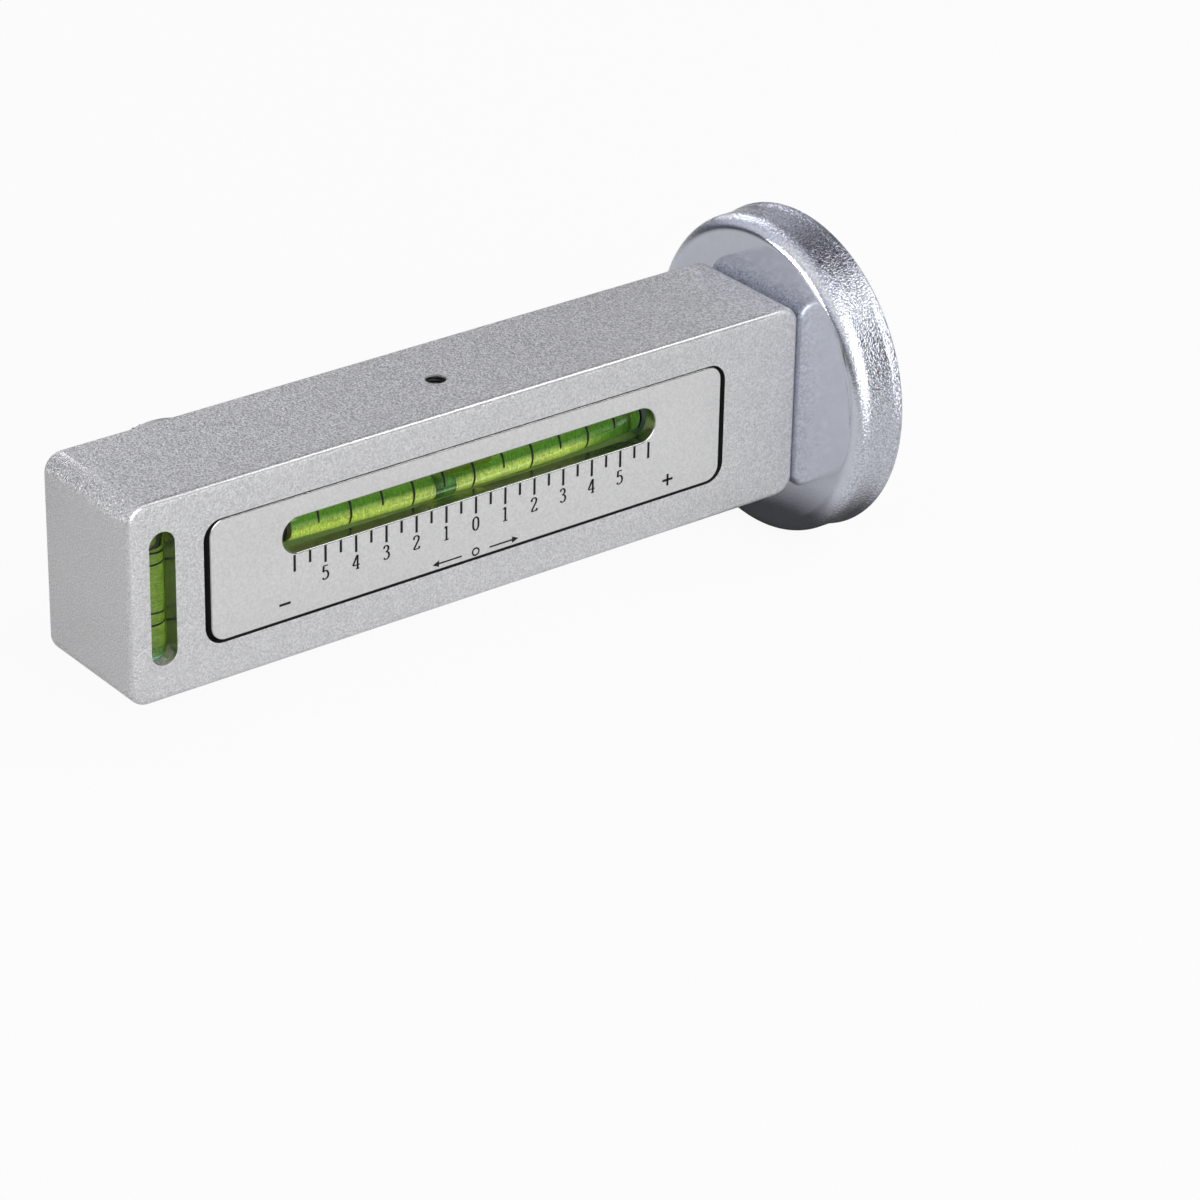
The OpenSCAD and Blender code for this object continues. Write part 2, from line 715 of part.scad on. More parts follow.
module adjuster_screw() {
    head = knob_y + knob_t - screw_head_h;
    color("darkgoldenrod") in_frame() difference() {
        union() {
            round_y(adjuster_x, adjuster_z, screw_tip_y, head - screw_tip_y, screw_d / 2);
            round_y(adjuster_x, adjuster_z, head, screw_head_h, screw_head_d / 2);
        }
        difference() {
            round_y(adjuster_x, adjuster_z, clip_y, clip_t, screw_d);
            round_y(adjuster_x, adjuster_z, clip_y, clip_t, screw_d / 2 - clip_groove);
        }
        translate([adjuster_x - screw_head_d, knob_y + knob_t - screw_slot_d,
            adjuster_z - screw_slot_w / 2])
            cube([2 * screw_head_d, screw_slot_d + cut, screw_slot_w]);
    }
}

// Outline of the knurled wheel: each tooth has a flat top and a flat root
function knurl_point(i) =
    let (tooth = floor(i / 4), step = i % 4,
        r = step < 2 ? knob_d / 2 : knob_d / 2 - knurl_depth,
        a = (tooth + knurl_shares[step]) * 360 / knurl_n)
        [r * cos(a), r * sin(a)];

module adjuster_knob() {
    color("saddlebrown") in_frame() difference() {
        union() {
            translate([adjuster_x, knob_y, adjuster_z]) rotate([-90, 0, 0])
                linear_extrude(knob_flange_t)
                    polygon([for (i = [0:4 * knurl_n - 1]) knurl_point(i)]);
            round_y(adjuster_x, adjuster_z, knob_y, knob_t, knob_hub_d / 2);
        }
        round_y(adjuster_x, adjuster_z, knob_y - cut, knob_t + 2 * cut,
            screw_d / 2 + fit_gap);
        round_y(adjuster_x, adjuster_z, knob_y + knob_t - screw_head_h, screw_head_h + cut,
            screw_head_d / 2 + fit_gap);
    }
}

module adjuster_washer() {
    color("gray") in_frame() difference() {
        round_y(adjuster_x, adjuster_z, bar_w + housing_h, washer_t, washer_d / 2);
        round_y(adjuster_x, adjuster_z, bar_w, housing_h + washer_t + cut,
            screw_d / 2 + run_gap);
    }
}

// Retaining clip: an open ring that snaps into the screw's groove inside the housing
module adjuster_clip() {
    color("gray") in_frame() difference() {
        round_y(adjuster_x, adjuster_z, clip_y, clip_t, clip_d / 2);
        round_y(adjuster_x, adjuster_z, clip_y - cut, clip_t + 2 * cut,
            screw_d / 2 - clip_groove + fit_gap);
        translate([adjuster_x - screw_d / 2 + clip_groove, clip_y - cut,
            adjuster_z - clip_d])
            cube([screw_d - 2 * clip_groove, clip_t + 2 * cut, clip_d]);
    }
}

module adjuster_nut() {
    color("darkgoldenrod") in_frame() difference() {
        round_y(adjuster_x, adjuster_z, head_y, head_t, nut_d / 2);
        round_y(adjuster_x, adjuster_z, head_y - cut, head_t + 2 * cut,
            screw_d / 2 + nut_gap);
    }
}

// Solid of revolution about the magnet's axis; the outline's x is the radius and its y the
// distance from the bar's end
module magnet_turned(points) {
    translate([bar_l, core_y, bar_h / 2]) rotate([0, 90, 0])
        rotate_extrude($fn = magnet_fn) polygon(points);
}

// Screw through the magnet, or the room for it when gap is above zero
module magnet_screw_solid(gap) {
    face = magnet_t - magnet_head_inset;
    r = magnet_screw_d / 2 + gap;
    translate([bar_l, core_y, bar_h / 2]) rotate([0, 90, 0]) {
        translate([0, 0, -magnet_screw_grip])
            cylinder(r = r, h = magnet_screw_grip + face - head_cone, $fn = round_fn);
        translate([0, 0, face - head_cone])
            cylinder(r1 = r, r2 = magnet_head_d / 2 + gap, h = head_cone, $fn = round_fn);
    }
}

module magnet_cup() {
    inner = magnet_d / 2 - cup_wall;
    r = magnet_d / 2;
    lip = lip_d / 2;
    color("lightsteelblue") in_frame() magnet_turned(concat(
        [[magnet_screw_d / 2 + fit_gap, 0]],
        quarter(r - shoulder_r, shoulder_r, shoulder_r, -90),
        [[r, magnet_t - flare_l - lip_ease], [lip, magnet_t - lip_ease]],
        [[lip - lip_ease, magnet_t], [inner, magnet_t], [inner, cup_floor],
            [magnet_screw_d / 2 + fit_gap, cup_floor]]));
}

module magnet_ring() {
    outer = magnet_d / 2 - cup_wall - resin_w;
    inner = core_d / 2 + resin_w;
    top = ferrite_top;
    color("darkslategray") in_frame() magnet_turned(
        [[inner, cup_floor], [outer, cup_floor], [outer, top], [inner, top]]);
}

module magnet_resin() {
    outer = magnet_d / 2 - cup_wall;
    inner = core_d / 2;
    top = ferrite_top;
    color("black") in_frame() {
        magnet_turned([[outer - resin_w, cup_floor], [outer, cup_floor], [outer, top],
            [outer - resin_w, top]]);
        magnet_turned([[inner, cup_floor], [inner + resin_w, cup_floor],
            [inner + resin_w, top], [inner, top]]);
    }
}

module magnet_core() {
    color("lightsteelblue") in_frame() difference() {
        magnet_turned([[0, cup_floor], [core_d / 2, cup_floor], [core_d / 2, magnet_t],
            [0, magnet_t]]);
        magnet_screw_solid(fit_gap);
        translate([bar_l + magnet_t - magnet_head_inset, core_y, bar_h / 2])
            rotate([0, 90, 0])
                cylinder(r = magnet_head_d / 2 + fit_gap, h = magnet_t, $fn = round_fn);
    }
}

module magnet_screw() {
    color("gray") in_frame() difference() {
        magnet_screw_solid(0);
        translate([bar_l + magnet_t - magnet_head_inset - socket_d, core_y, bar_h / 2])
            rotate([0, 90, 0])
                cylinder(r = magnet_socket / 2 * hex_corner, h = socket_d + cut, $fn = 6);
    }
}

bar_body();
camber_plate();
camber_scale_lines();
camber_vial();
camber_vial_plugs();
camber_vial_collars();
camber_vial_marks();
camber_liquid();
camber_bubble();
cross_vial();
cross_vial_plug();
cross_vial_rings();
cross_liquid();
cross_bubble();
cross_vial_cap();
back_plate();
back_scale_lines();
caster_carrier();
caster_vial();
caster_vial_plugs();
caster_vial_marks();
caster_liquid();
caster_bubble();
pivot_pin();
pivot_set_screw();
adjuster_housing();
adjuster_screw();
adjuster_knob();
adjuster_washer();
adjuster_clip();
adjuster_nut();
magnet_cup();
magnet_ring();
magnet_resin();
magnet_core();
magnet_screw();
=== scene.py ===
"""Wheel-alignment gauge: a blasted aluminium bar with a camber vial, a cross vial, a tilting
caster vial behind and a bright zinc pot magnet at its end. Lengths are metres, in the frame
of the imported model: the origin is the centre of the magnet's face, the bar runs along -X,
the camber scale faces -Y and +Z is up."""

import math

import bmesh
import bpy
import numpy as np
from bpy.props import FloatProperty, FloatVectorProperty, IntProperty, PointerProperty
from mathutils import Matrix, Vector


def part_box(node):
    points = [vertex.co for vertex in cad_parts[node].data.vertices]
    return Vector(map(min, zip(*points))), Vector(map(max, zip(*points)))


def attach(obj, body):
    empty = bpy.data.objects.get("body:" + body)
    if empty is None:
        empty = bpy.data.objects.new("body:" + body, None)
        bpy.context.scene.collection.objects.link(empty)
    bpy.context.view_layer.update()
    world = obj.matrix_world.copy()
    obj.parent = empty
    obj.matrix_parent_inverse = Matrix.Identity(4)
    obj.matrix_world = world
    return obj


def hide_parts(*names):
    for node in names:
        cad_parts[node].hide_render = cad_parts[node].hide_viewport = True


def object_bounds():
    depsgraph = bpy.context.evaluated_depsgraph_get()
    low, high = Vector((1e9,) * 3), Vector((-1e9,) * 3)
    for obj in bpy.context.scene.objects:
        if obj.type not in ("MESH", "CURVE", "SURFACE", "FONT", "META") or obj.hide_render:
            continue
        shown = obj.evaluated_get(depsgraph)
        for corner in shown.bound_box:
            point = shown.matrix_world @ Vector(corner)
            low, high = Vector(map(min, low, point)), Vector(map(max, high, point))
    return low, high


bl_info = {
    "name": "Camber caster gauge",
    "version": (1, 0, 0),
    "blender": (4, 5, 0),
    "location": "View3D > Sidebar > Gauge",
    "description": "Builds a magnetic camber and caster gauge round its packed frame",
    "category": "Object",
}

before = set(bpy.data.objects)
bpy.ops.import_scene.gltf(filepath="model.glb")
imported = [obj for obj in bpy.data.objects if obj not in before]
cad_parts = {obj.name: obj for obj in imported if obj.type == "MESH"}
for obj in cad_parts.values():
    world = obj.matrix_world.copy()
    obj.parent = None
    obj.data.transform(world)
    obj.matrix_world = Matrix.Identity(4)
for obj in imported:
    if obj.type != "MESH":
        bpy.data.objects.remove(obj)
CAD_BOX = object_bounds()

MM = 0.001


def linear(code):
    """The linear colour of an sRGB hex code: c/12.92 below 0.04045, else a power of 2.4."""
    srgb = [int(code[i:i + 2], 16) / 255 for i in (0, 2, 4)]
    return [c / 12.92 if c <= 0.04045 else ((c + 0.055) / 1.055) ** 2.4 for c in srgb]


def length(name, millimetres, words):
    """A length property, given in millimetres."""
    return FloatProperty(name=name, description=words, default=millimetres * MM,
                         unit="LENGTH", precision=5)


def colour(name, code, words):
    """A colour property, given as an sRGB hex code."""
    return FloatVectorProperty(name=name, description=words, default=linear(code),
                               subtype="COLOR", size=3, min=0, max=1)


def corners(node):
    """Lowest and highest corner of a CAD node, as arrays."""
    lo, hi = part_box(node)
    return np.array(lo), np.array(hi)


def centre(node):
    """Centre of a CAD node's box."""
    lo, hi = corners(node)
    return (lo + hi) / 2


class GaugeBarSizes(bpy.types.PropertyGroup):
    corner: length("Corner radius", 2.85, "Radius of the bar's corners seen from the front")
    edge: length("Edge radius", 0.9, "Radius that eases the front and back faces")
    rim: length("Rim", 0.22, "Width of the cut rims of the pockets and holes")
    pocket_length: length("Front pocket length", 88.9, "Length of the front plate's pocket")
    pocket_height: length("Pocket height", 18.7, "Height of both plates' pockets")
    pocket_corner: length("Pocket corner", 2.9, "Corner radius of both plates' pockets")
    back_pocket_length: length("Back pocket length", 66.5, "Length of the back pocket")
    vial_pocket_length: length("Vial pocket length", 70.8, "Length of the camber pocket")
    vial_pocket_height: length("Vial pocket height", 6.6, "Height of the camber vial's pocket")
    vial_pocket_corner: length("Vial pocket corner", 1, "Corner radius of that pocket")
    vial_pocket_floor: length("Vial pocket floor", 10.1, "Depth of its floor")
    slot_width: length("Slot width", 4.05, "Width of the cross vial's slot")
    slot_length: length("Slot length", 19.9, "Length of the cross vial's slot")
    slot_lift: length("Slot lift", 0.35, "Height of the slot above the bar's middle")
    pocket_shift: length("Pocket shift", 0.2, "Front pocket's middle short of its plate's")
    cross_gap: length("Cross vial gap", 0.15, "Gap round the cross vial's rings")
    fit: length("Fit", 0.03, "Gap round a part that is pressed or screwed in")
    pivot_bore: length("Pivot bore", 1.53, "Radius of the pivot's bore")
    hub_bore: length("Hub bore", 3.45, "Radius of the room round the carrier's hub")
    arm_start: length("Arm room start", 5, "From the carrier's end to the room for its arm")
    arm_front: length("Arm room front", 1.1, "Room in front of the carrier and at its end")
    arm_below: length("Arm room below", 0.25, "Room under the carrier")
    arm_height: length("Arm room height", 7.4, "Height of the room for the carrier")
    arm_back: length("Arm room back", 2.6, "Metal left behind the carrier's arm")
    back_room: length("Back room", 23, "Half the length of the room behind the back window")
    housing_bore: length("Housing bore", 9.03, "Radius of the bore for the adjuster's housing")
    housing_seat: length("Housing seat", 0.57, "From the carrier to the bore's floor")
    screw_bore: length("Screw bore", 3.03, "Radius of the bore for the magnet's screw")
    hole_chamfer: length("Hole chamfer", 0.28, "Chamfer of the pivot hole")
    thread_pitch: length("Thread pitch", 0.5, "Pitch of the thread in the pivot hole")
    thread_depth: length("Thread depth", 0.16, "Depth of that thread")


class GaugePlateSizes(bpy.types.PropertyGroup):
    corner: length("Corner radius", 2.3, "Corner radius of both scale plates")
    rim: length("Rim", 0.18, "Radius that eases the plates' edges")
    window_length: length("Front window length", 63.7, "Length of the front window")
    window_height: length("Window height", 5.3, "Height of both windows")
    window_shift: length("Window shift", -0.35, "Front window's middle from the zero line")
    window_lift: length("Window lift", 1.0, "Front window's middle above the vial's axis")
    window_flat: length("Window flat", 0.03, "How far a window's ends are short of round")
    back_window_length: length("Back window length", 46, "Length of the back window")


class GaugeScaleSizes(bpy.types.PropertyGroup):
    line_width: length("Line width", 0.4, "Width of the scale lines")
    long_line: length("Long line", 2.55, "Height of a whole-degree line")
    short_line: length("Short line", 1.85, "Height of a half-degree line")
    line_gap: length("Line gap", 0.2, "Gap from the window to the lines")
    camber_degree: length("Camber degree", 5.058, "Length of one degree of camber")
    caster_degree: length("Caster degree", 3.4, "Length of one degree of caster")
    digit_height: length("Digit height", 2.2, "Height of the numbers")
    digit_drop: length("Digit drop", 0.45, "Gap from the lines to the numbers")
    ink: length("Ink", 0.02, "How far the ink stands out of a plate")
    minus_reach: length("Minus reach", 32, "From the zero to the minus sign")
    plus_reach: length("Plus reach", 34, "From the zero to the plus sign")
    sign_lift: length("Sign lift", 2.45, "Height of both signs above the plate's edge")
    arrow_lift: length("Arrow lift", 0.95, "Height of the arrows above the plate's edge")
    arrow_tail: length("Arrow tail", 2.4, "From the zero to an arrow's tail")
    arrow_tip: length("Arrow tip", 7.4, "From the zero to an arrow's tip")
    arrow_head: length("Arrow head", 1.1, "Length of an arrow's head")
    arrow_half: length("Arrow half", 0.5, "Half the width of an arrow's head")
    degree_radius: length("Degree radius", 0.55, "Radius of the degree sign")
    thin_line: length("Thin line", 0.24, "Width of the arrows' and the degree sign's lines")


class GaugeVialSizes(bpy.types.PropertyGroup):
    arch: length("Arch radius", 290, "Radius that the long vials are bent to")
    diameter: length("Diameter", 5.7, "Outer diameter of the vials")
    bore: length("Bore", 4.2, "Inner diameter of the vials")
    plug: length("Plug length", 2.4, "Length of the end plugs")
    film: length("Film", 0.02, "Gap between the liquid and the bore")
    bubble_depth: length("Bubble depth", 1.15, "Depth of the bubbles")
    bubble_gap: length("Bubble gap", 0.1, "Gap between a bubble and the bore")
    rim: length("Rim", 0.2, "Radius that eases the tubes' ends")
    end_wall: length("End wall", 1, "Thickness of the cross vial's closed end")
    mark_width: length("Mark width", 0.36, "Width of the marks on the vials")
    mark_shift: length("Mark shift", 1.3, "Camber vial's marks past the zero of the scale")
    mark_ink: length("Mark ink", 0.04, "Thickness of the marks on the vials")


class GaugeAdjusterSizes(bpy.types.PropertyGroup):
    teeth: IntProperty(name="Teeth", description="Teeth of the knurled wheel", default=56,
                       min=12, max=80)
    knurl: length("Knurl depth", 0.4, "Depth of the knurl")
    flange: length("Flange", 1.2, "Thickness of the wheel's knurled flange")
    hub: length("Hub", 7.5, "Radius of the wheel's hub")
    spigot: length("Spigot", 9, "Radius of the housing's spigot in the bar")
    screw: length("Screw", 2, "Radius of the adjuster's screw")
    screw_gap: length("Screw gap", 0.06, "Gap round the screw in its housing")
    fit: length("Fit", 0.03, "Gap round the screw in the wheel")
    screw_head: length("Screw head", 1.6, "Height of the screw's head")
    ease: length("Ease", 0.6, "Radius that eases the housing's rim")
    dish: length("Dish", 0.15, "Depth of the housing's turned face")
    chamfer: length("Chamfer", 0.3, "Chamfer of the knurled wheel")


class GaugeMagnetSizes(bpy.types.PropertyGroup):
    shoulder: length("Shoulder radius", 2.5, "Radius of the cup's shoulder")
    flare: length("Flare", 1.5, "Length of the lip's flare")
    wall: length("Wall", 2.6, "Thickness of the cup's wall")
    floor: length("Floor", 3, "Thickness of the cup's floor")
    body: length("Body diameter", 48.1, "Diameter of the cup behind its lip")
    bore: length("Bore", 3.03, "Radius of the hole for the screw")
    sweep: length("Sweep", 40, "Radius of the wall's sweep towards the lip")
    ease: length("Ease", 0.3, "Radius that eases the lip")
    cut: length("Cut", 0.15, "Chamfer inside the lip")


class GaugeFinishes(bpy.types.PropertyGroup):
    blasted: colour("Blasted aluminium", "cbcbcd", "Bead-blasted silver anodised bar")
    satin: colour("Satin aluminium", "cfcfcf", "Satin anodised scale plates")
    ink: colour("Ink", "121111", "Screen-printed ink")
    # Black as painted shade: it fills the narrow gaps round the plates
    tape: colour("Tape", "161616", "Adhesive tape that holds the plates")
    spirit: colour("Spirit", "f4fdc0", "Liquid in the vials, by transmitted light")
    acrylic: colour("Acrylic", "fcfffc", "Tubes of the vials")
    vapour: colour("Vapour", "fbffd6", "Bubbles, by transmitted light")
    plug: colour("Plugs", "8fc4a4", "End plugs of the vials")
    collar: colour("Collars", "7f9c88", "Rubber collars of the camber vial")
    phosphate: colour("Phosphate", "52807c", "Phosphated pivot pin")
    # Painted shade: used at half on the camber pocket's floor, beside the caustic stripe
    etch: colour("Etch primer", "8ccaa0", "Green etch primer round the vials")
    # Painted light: the green light that comes through the spirit onto the pocket's walls
    wall: colour("Pocket walls", "90b464", "Etch primer on the camber vial's pocket walls")
    # Painted light: a pale tone that stands in for the light reaching the cross vial's bore
    bore: colour("Bore primer", "a2bc86", "Sprayed primer in the cross vial's bore")
    # Painted light: the white of the caustic stripe on the camber vial's pocket floor
    primer: colour("Primer", "f8f8f4", "Primed floor of the camber vial's pocket")
    cut: colour("Cut aluminium", "c9cac9", "Cut rims and milled walls")
    zinc: colour("Zinc plate", "dfe3ee", "Bright zinc plating of the magnet")
    brass: colour("Brass", "6e5330", "Browned brass of the adjuster")
    steel: colour("Steel", "8b8b8d", "Spring steel")
    oxide: colour("Black oxide", "2e2d2d", "Pin and set screw")
    ferrite: colour("Ferrite", "3a3b3f", "Ground ferrite ring")
    acetal: colour("Acetal", "242425", "Carrier of the caster vial")
    nylon: colour("Nylon", "5b5c5c", "Cap of the cross vial")


GROUPS = (GaugeBarSizes, GaugePlateSizes, GaugeScaleSizes, GaugeVialSizes,
          GaugeAdjusterSizes, GaugeMagnetSizes, GaugeFinishes)
NAMES = ("gauge_bar", "gauge_plate", "gauge_scale", "gauge_vial", "gauge_adjuster",
         "gauge_magnet", "gauge_finish")


# Shapes

def arc(cx, cy, radius, start, end, steps):
    """Points of a circular arc from start to end degrees: (cx + r cos a, cy + r sin a)."""
    a = np.radians(np.linspace(start, end, steps + 1))
    return np.stack([cx + radius * np.cos(a), cy + radius * np.sin(a)], -1)


def rounded(length_x, length_z, radius, steps=10):
    """Closed outline of a rounded rectangle: four quarter circles joined by its sides."""
    x, z = length_x / 2 - radius, length_z / 2 - radius
    turns = ((x, z, 0), (-x, z, 90), (-x, -z, 180), (x, -z, 270))
    return np.concatenate([arc(cx, cz, radius, a, a + 90, steps) for cx, cz, a in turns])


def grid_faces(rows, columns, close_rows):
    """Four-sided faces of a grid of points whose columns join round, and whose rows do if
    asked."""
    r, c = np.meshgrid(np.arange(rows if close_rows else rows - 1), np.arange(columns),
                       indexing="ij")
    r2, c2 = (r + 1) % rows, (c + 1) % columns
    quads = np.stack([r * columns + c, r * columns + c2, r2 * columns + c2,
                      r2 * columns + c], -1)
    return quads.reshape(-1, 4).tolist()


def build_mesh(name, points, close_rows=False, caps=False, slots=None):
    """Mesh of a grid of points (rows, columns, 3), with flat ends if caps is true. Poles
    and seams are merged, and the faces are turned outwards. slots gives the material slot
    of the faces that start from each row."""
    rows, columns = points.shape[:2]
    faces = grid_faces(rows, columns, close_rows)
    if caps:
        faces += [list(range(columns)), list(range((rows - 1) * columns, rows * columns))]
    mesh = bpy.data.meshes.new(name)
    mesh.from_pydata(points.reshape(-1, 3).tolist(), [], faces)
    if slots is not None:
        mesh.polygons.foreach_set("material_index", np.repeat(slots, columns)[:len(faces)])
    seal(mesh)
    return mesh


def seal(mesh):
    """Merges doubles, drops faces without area and turns all faces outwards."""
    bm = bmesh.new()
    bm.from_mesh(mesh)
    bmesh.ops.remove_doubles(bm, verts=bm.verts, dist=1e-7)
    bmesh.ops.dissolve_degenerate(bm, edges=bm.edges, dist=1e-8)
    bmesh.ops.recalc_face_normals(bm, faces=bm.faces)
    bm.to_mesh(mesh)
    bm.free()


def turned(profile, centre_point, axis, steps=128, ripple=None):
    """A profile of (radius, height) carried round an axis: the point is
    centre + height * axis + radius * (cos a * e1 + sin a * e2). ripple adds to the radius,
    one value for each row and angle."""
    unit = np.eye(3)
    a = np.linspace(0, 2 * np.pi, steps, endpoint=False)
    e1, e2 = unit[(axis + 1) % 3], unit[(axis + 2) % 3]
    ring = np.cos(a)[:, None] * e1 + np.sin(a)[:, None] * e2
    radius = np.repeat(profile[:, :1], steps, 1) + (0 if ripple is None else ripple)
    return (np.asarray(centre_point) + profile[:, 1][:, None, None] * unit[axis]
            + radius[:, :, None] * ring)


def prism(outline, x, z, y0, y1):
    """An outline in X and Z carried straight along Y from y0 to y1."""
    flat = np.stack([outline[:, 0] + x, np.zeros(len(outline)), outline[:, 1] + z], -1)
    return np.stack([flat + [0, y0, 0], flat + [0, y1, 0]])


def cylinder(centre_point, axis, radius, low, high, steps=64):
    """A straight cylinder from low to high along an axis through a point."""
    base = np.array(centre_point, float)
    base[axis] = 0
    return turned(np.array([[radius, low], [radius, high]]), base, axis, steps)


def box_points(lo, hi):
    """A box as two rings of four points."""
    (x0, y0, z0), (x1, y1, z1) = lo, hi
    ring = np.array([[x0, 0, z0], [x1, 0, z0], [x1, 0, z1], [x0, 0, z1]], float)
    return np.stack([ring + [0, y0, 0], ring + [0, y1, 0]])


def bent(points, apex, side, arch):
    """Bends a straight vial that lies along X into an arch: the length s becomes an angle
    t = s / arch, x = x0 + (arch + a) sin t and y = yc + side (arch + a) cos t, where a is the
    offset towards the bulge and yc the arch's centre."""
    t = points[..., 0] / arch
    reach = arch + side * points[..., 1]
    x0, y0, z0 = apex
    return np.stack([x0 + reach * np.sin(t), y0 - side * arch + side * reach * np.cos(t),
                     z0 + points[..., 2]], -1)


def upright(points, base):
    """Stands a straight vial on end: its length runs up Z and its top faces -Y."""
    x0, y0, z0 = base
    return np.stack([x0 - points[..., 1], y0 - points[..., 2], z0 + points[..., 0]], -1)


# Objects

def new_object(name, mesh):
    """Links an object that holds this mesh to the scene."""
    made = bpy.data.objects.new(name, mesh)
    bpy.context.scene.collection.objects.link(made)
    return made


def joined(name, grids, **closing):
    """One mesh of several closed grids of points."""
    parts = bmesh.new()
    for points in grids:
        mesh = build_mesh(name, points, **closing)
        parts.from_mesh(mesh)
        bpy.data.meshes.remove(mesh)
    mesh = bpy.data.meshes.new(name)
    parts.to_mesh(mesh)
    parts.free()
    return mesh


def dress(piece, body, slot, *nodes, finish=None, angle=35):
    """Gives a piece its body and smooth faces between sharp edges, and hides the nodes that it
    stands for. Its finish is the slot's own, unless it has some or one is named."""
    mesh = piece.data
    if not mesh.materials:
        mesh.materials.append(FINISHES[finish or slot])
    mesh.polygons.foreach_set("use_smooth", [True] * len(mesh.polygons))
    mesh.set_sharp_from_angle(angle=math.radians(angle))
    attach(piece, body)
    if nodes:
        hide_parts(*nodes)


def carve(piece, cutters):
    """Cuts each closed grid of points out of a piece, one after the other."""
    for points in cutters:
        tool = new_object("cutter", build_mesh("cutter", points, caps=True))
        cut = piece.modifiers.new("cut", "BOOLEAN")
        cut.object = tool
        cut.solver = "EXACT"
        graph = bpy.context.evaluated_depsgraph_get()
        mesh = bpy.data.meshes.new_from_object(piece.evaluated_get(graph))
        piece.modifiers.clear()
        piece.data = mesh
        bpy.data.objects.remove(tool)


# Angle past which an edge is sharp, and up to which neighbours are one flat face, in degrees
SHARP_EDGE = 40
SAME_FACE = 1


def break_edges(piece, width):
    """Bevels the sharp edges of a piece, so that they catch the light."""
    bevel = piece.modifiers.new("rim", "BEVEL")
    bevel.width = width
    bevel.segments = 2
    bevel.limit_method = "ANGLE"
    bevel.angle_limit = math.radians(SHARP_EDGE)
    bevel.harden_normals = True
    return bevel


def copy_of(node, ease):
    """A merged copy of a CAD node, flat faces joined, with its sharp edges broken."""
    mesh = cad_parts[node].data.copy()
    mesh.materials.clear()
    bm = bmesh.new()
    bm.from_mesh(mesh)
    bmesh.ops.remove_doubles(bm, verts=bm.verts, dist=1e-6)
    bmesh.ops.dissolve_limit(bm, angle_limit=math.radians(SAME_FACE), verts=bm.verts,
                             edges=bm.edges)
    bmesh.ops.recalc_face_normals(bm, faces=bm.faces)
    bm.to_mesh(mesh)
    bm.free()
    made = new_object("gauge_" + node, mesh)
    if ease:
        break_edges(made, ease)
    return made


# Finishes

def add_node(tree, kind, inputs=(), **settings):
    """Adds one node with its settings. Each input is a value, an output to link, or a node
    whose first output in use is linked."""
    made = tree.nodes.new("ShaderNode" + kind)
    for key, value in settings.items():
        setattr(made, key, value)
    for key, value in dict(inputs).items():
        if isinstance(value, bpy.types.Node):
            value = next(out for out in value.outputs if out.enabled)
        if isinstance(value, bpy.types.NodeSocket):
            tree.links.new(value, made.inputs[key])
        else:
            made.inputs[key].default_value = value
    return made


def new_finish(name, make, *values):
    """A node material whose surface is the shader that make adds to its tree."""
    made = bpy.data.materials.new(name)
    made.use_nodes = True
    made.node_tree.nodes.clear()
    add_node(made.node_tree, "OutputMaterial", {"Surface": make(made.node_tree, *values)})
    return made


def grain(tree, size, detail=2, rough=0.5, contrast=(0.35, 0.65)):
    """Noise whose grains are about size across, stretched to the contrast given."""
    place = add_node(tree, "TexCoord").outputs["Object"]
    noise = add_node(tree, "TexNoise", {"Vector": place, "Scale": 1 / size, "Detail": detail,
                                        "Roughness": rough})
    return add_node(tree, "MapRange", {0: noise, 1: contrast[0], 2: contrast[1]})


def between(tree, share, low, high):
    """A value or colour that runs from low to high with share."""
    if isinstance(low, (int, float)):
        return add_node(tree, "MapRange", {0: share, 3: low, 4: high})
    ends = [end if isinstance(end, bpy.types.Node) else (*end, 1) for end in (low, high)]
    return add_node(tree, "Mix", {0: share, 6: ends[0], 7: ends[1]}, data_type="RGBA")


def turned_to(tree, axis):
    """How far a surface faces along an axis, either way: 1 is square to it."""
    normal = add_node(tree, "NewGeometry").outputs["Normal"]
    part = add_node(tree, "SeparateXYZ", {0: normal}).outputs[axis]
    return add_node(tree, "Math", {0: part}, operation="ABSOLUTE")


def shade(values, factor):
    """A colour made darker or lighter by a factor."""
    return [min(1, v * factor) for v in values]


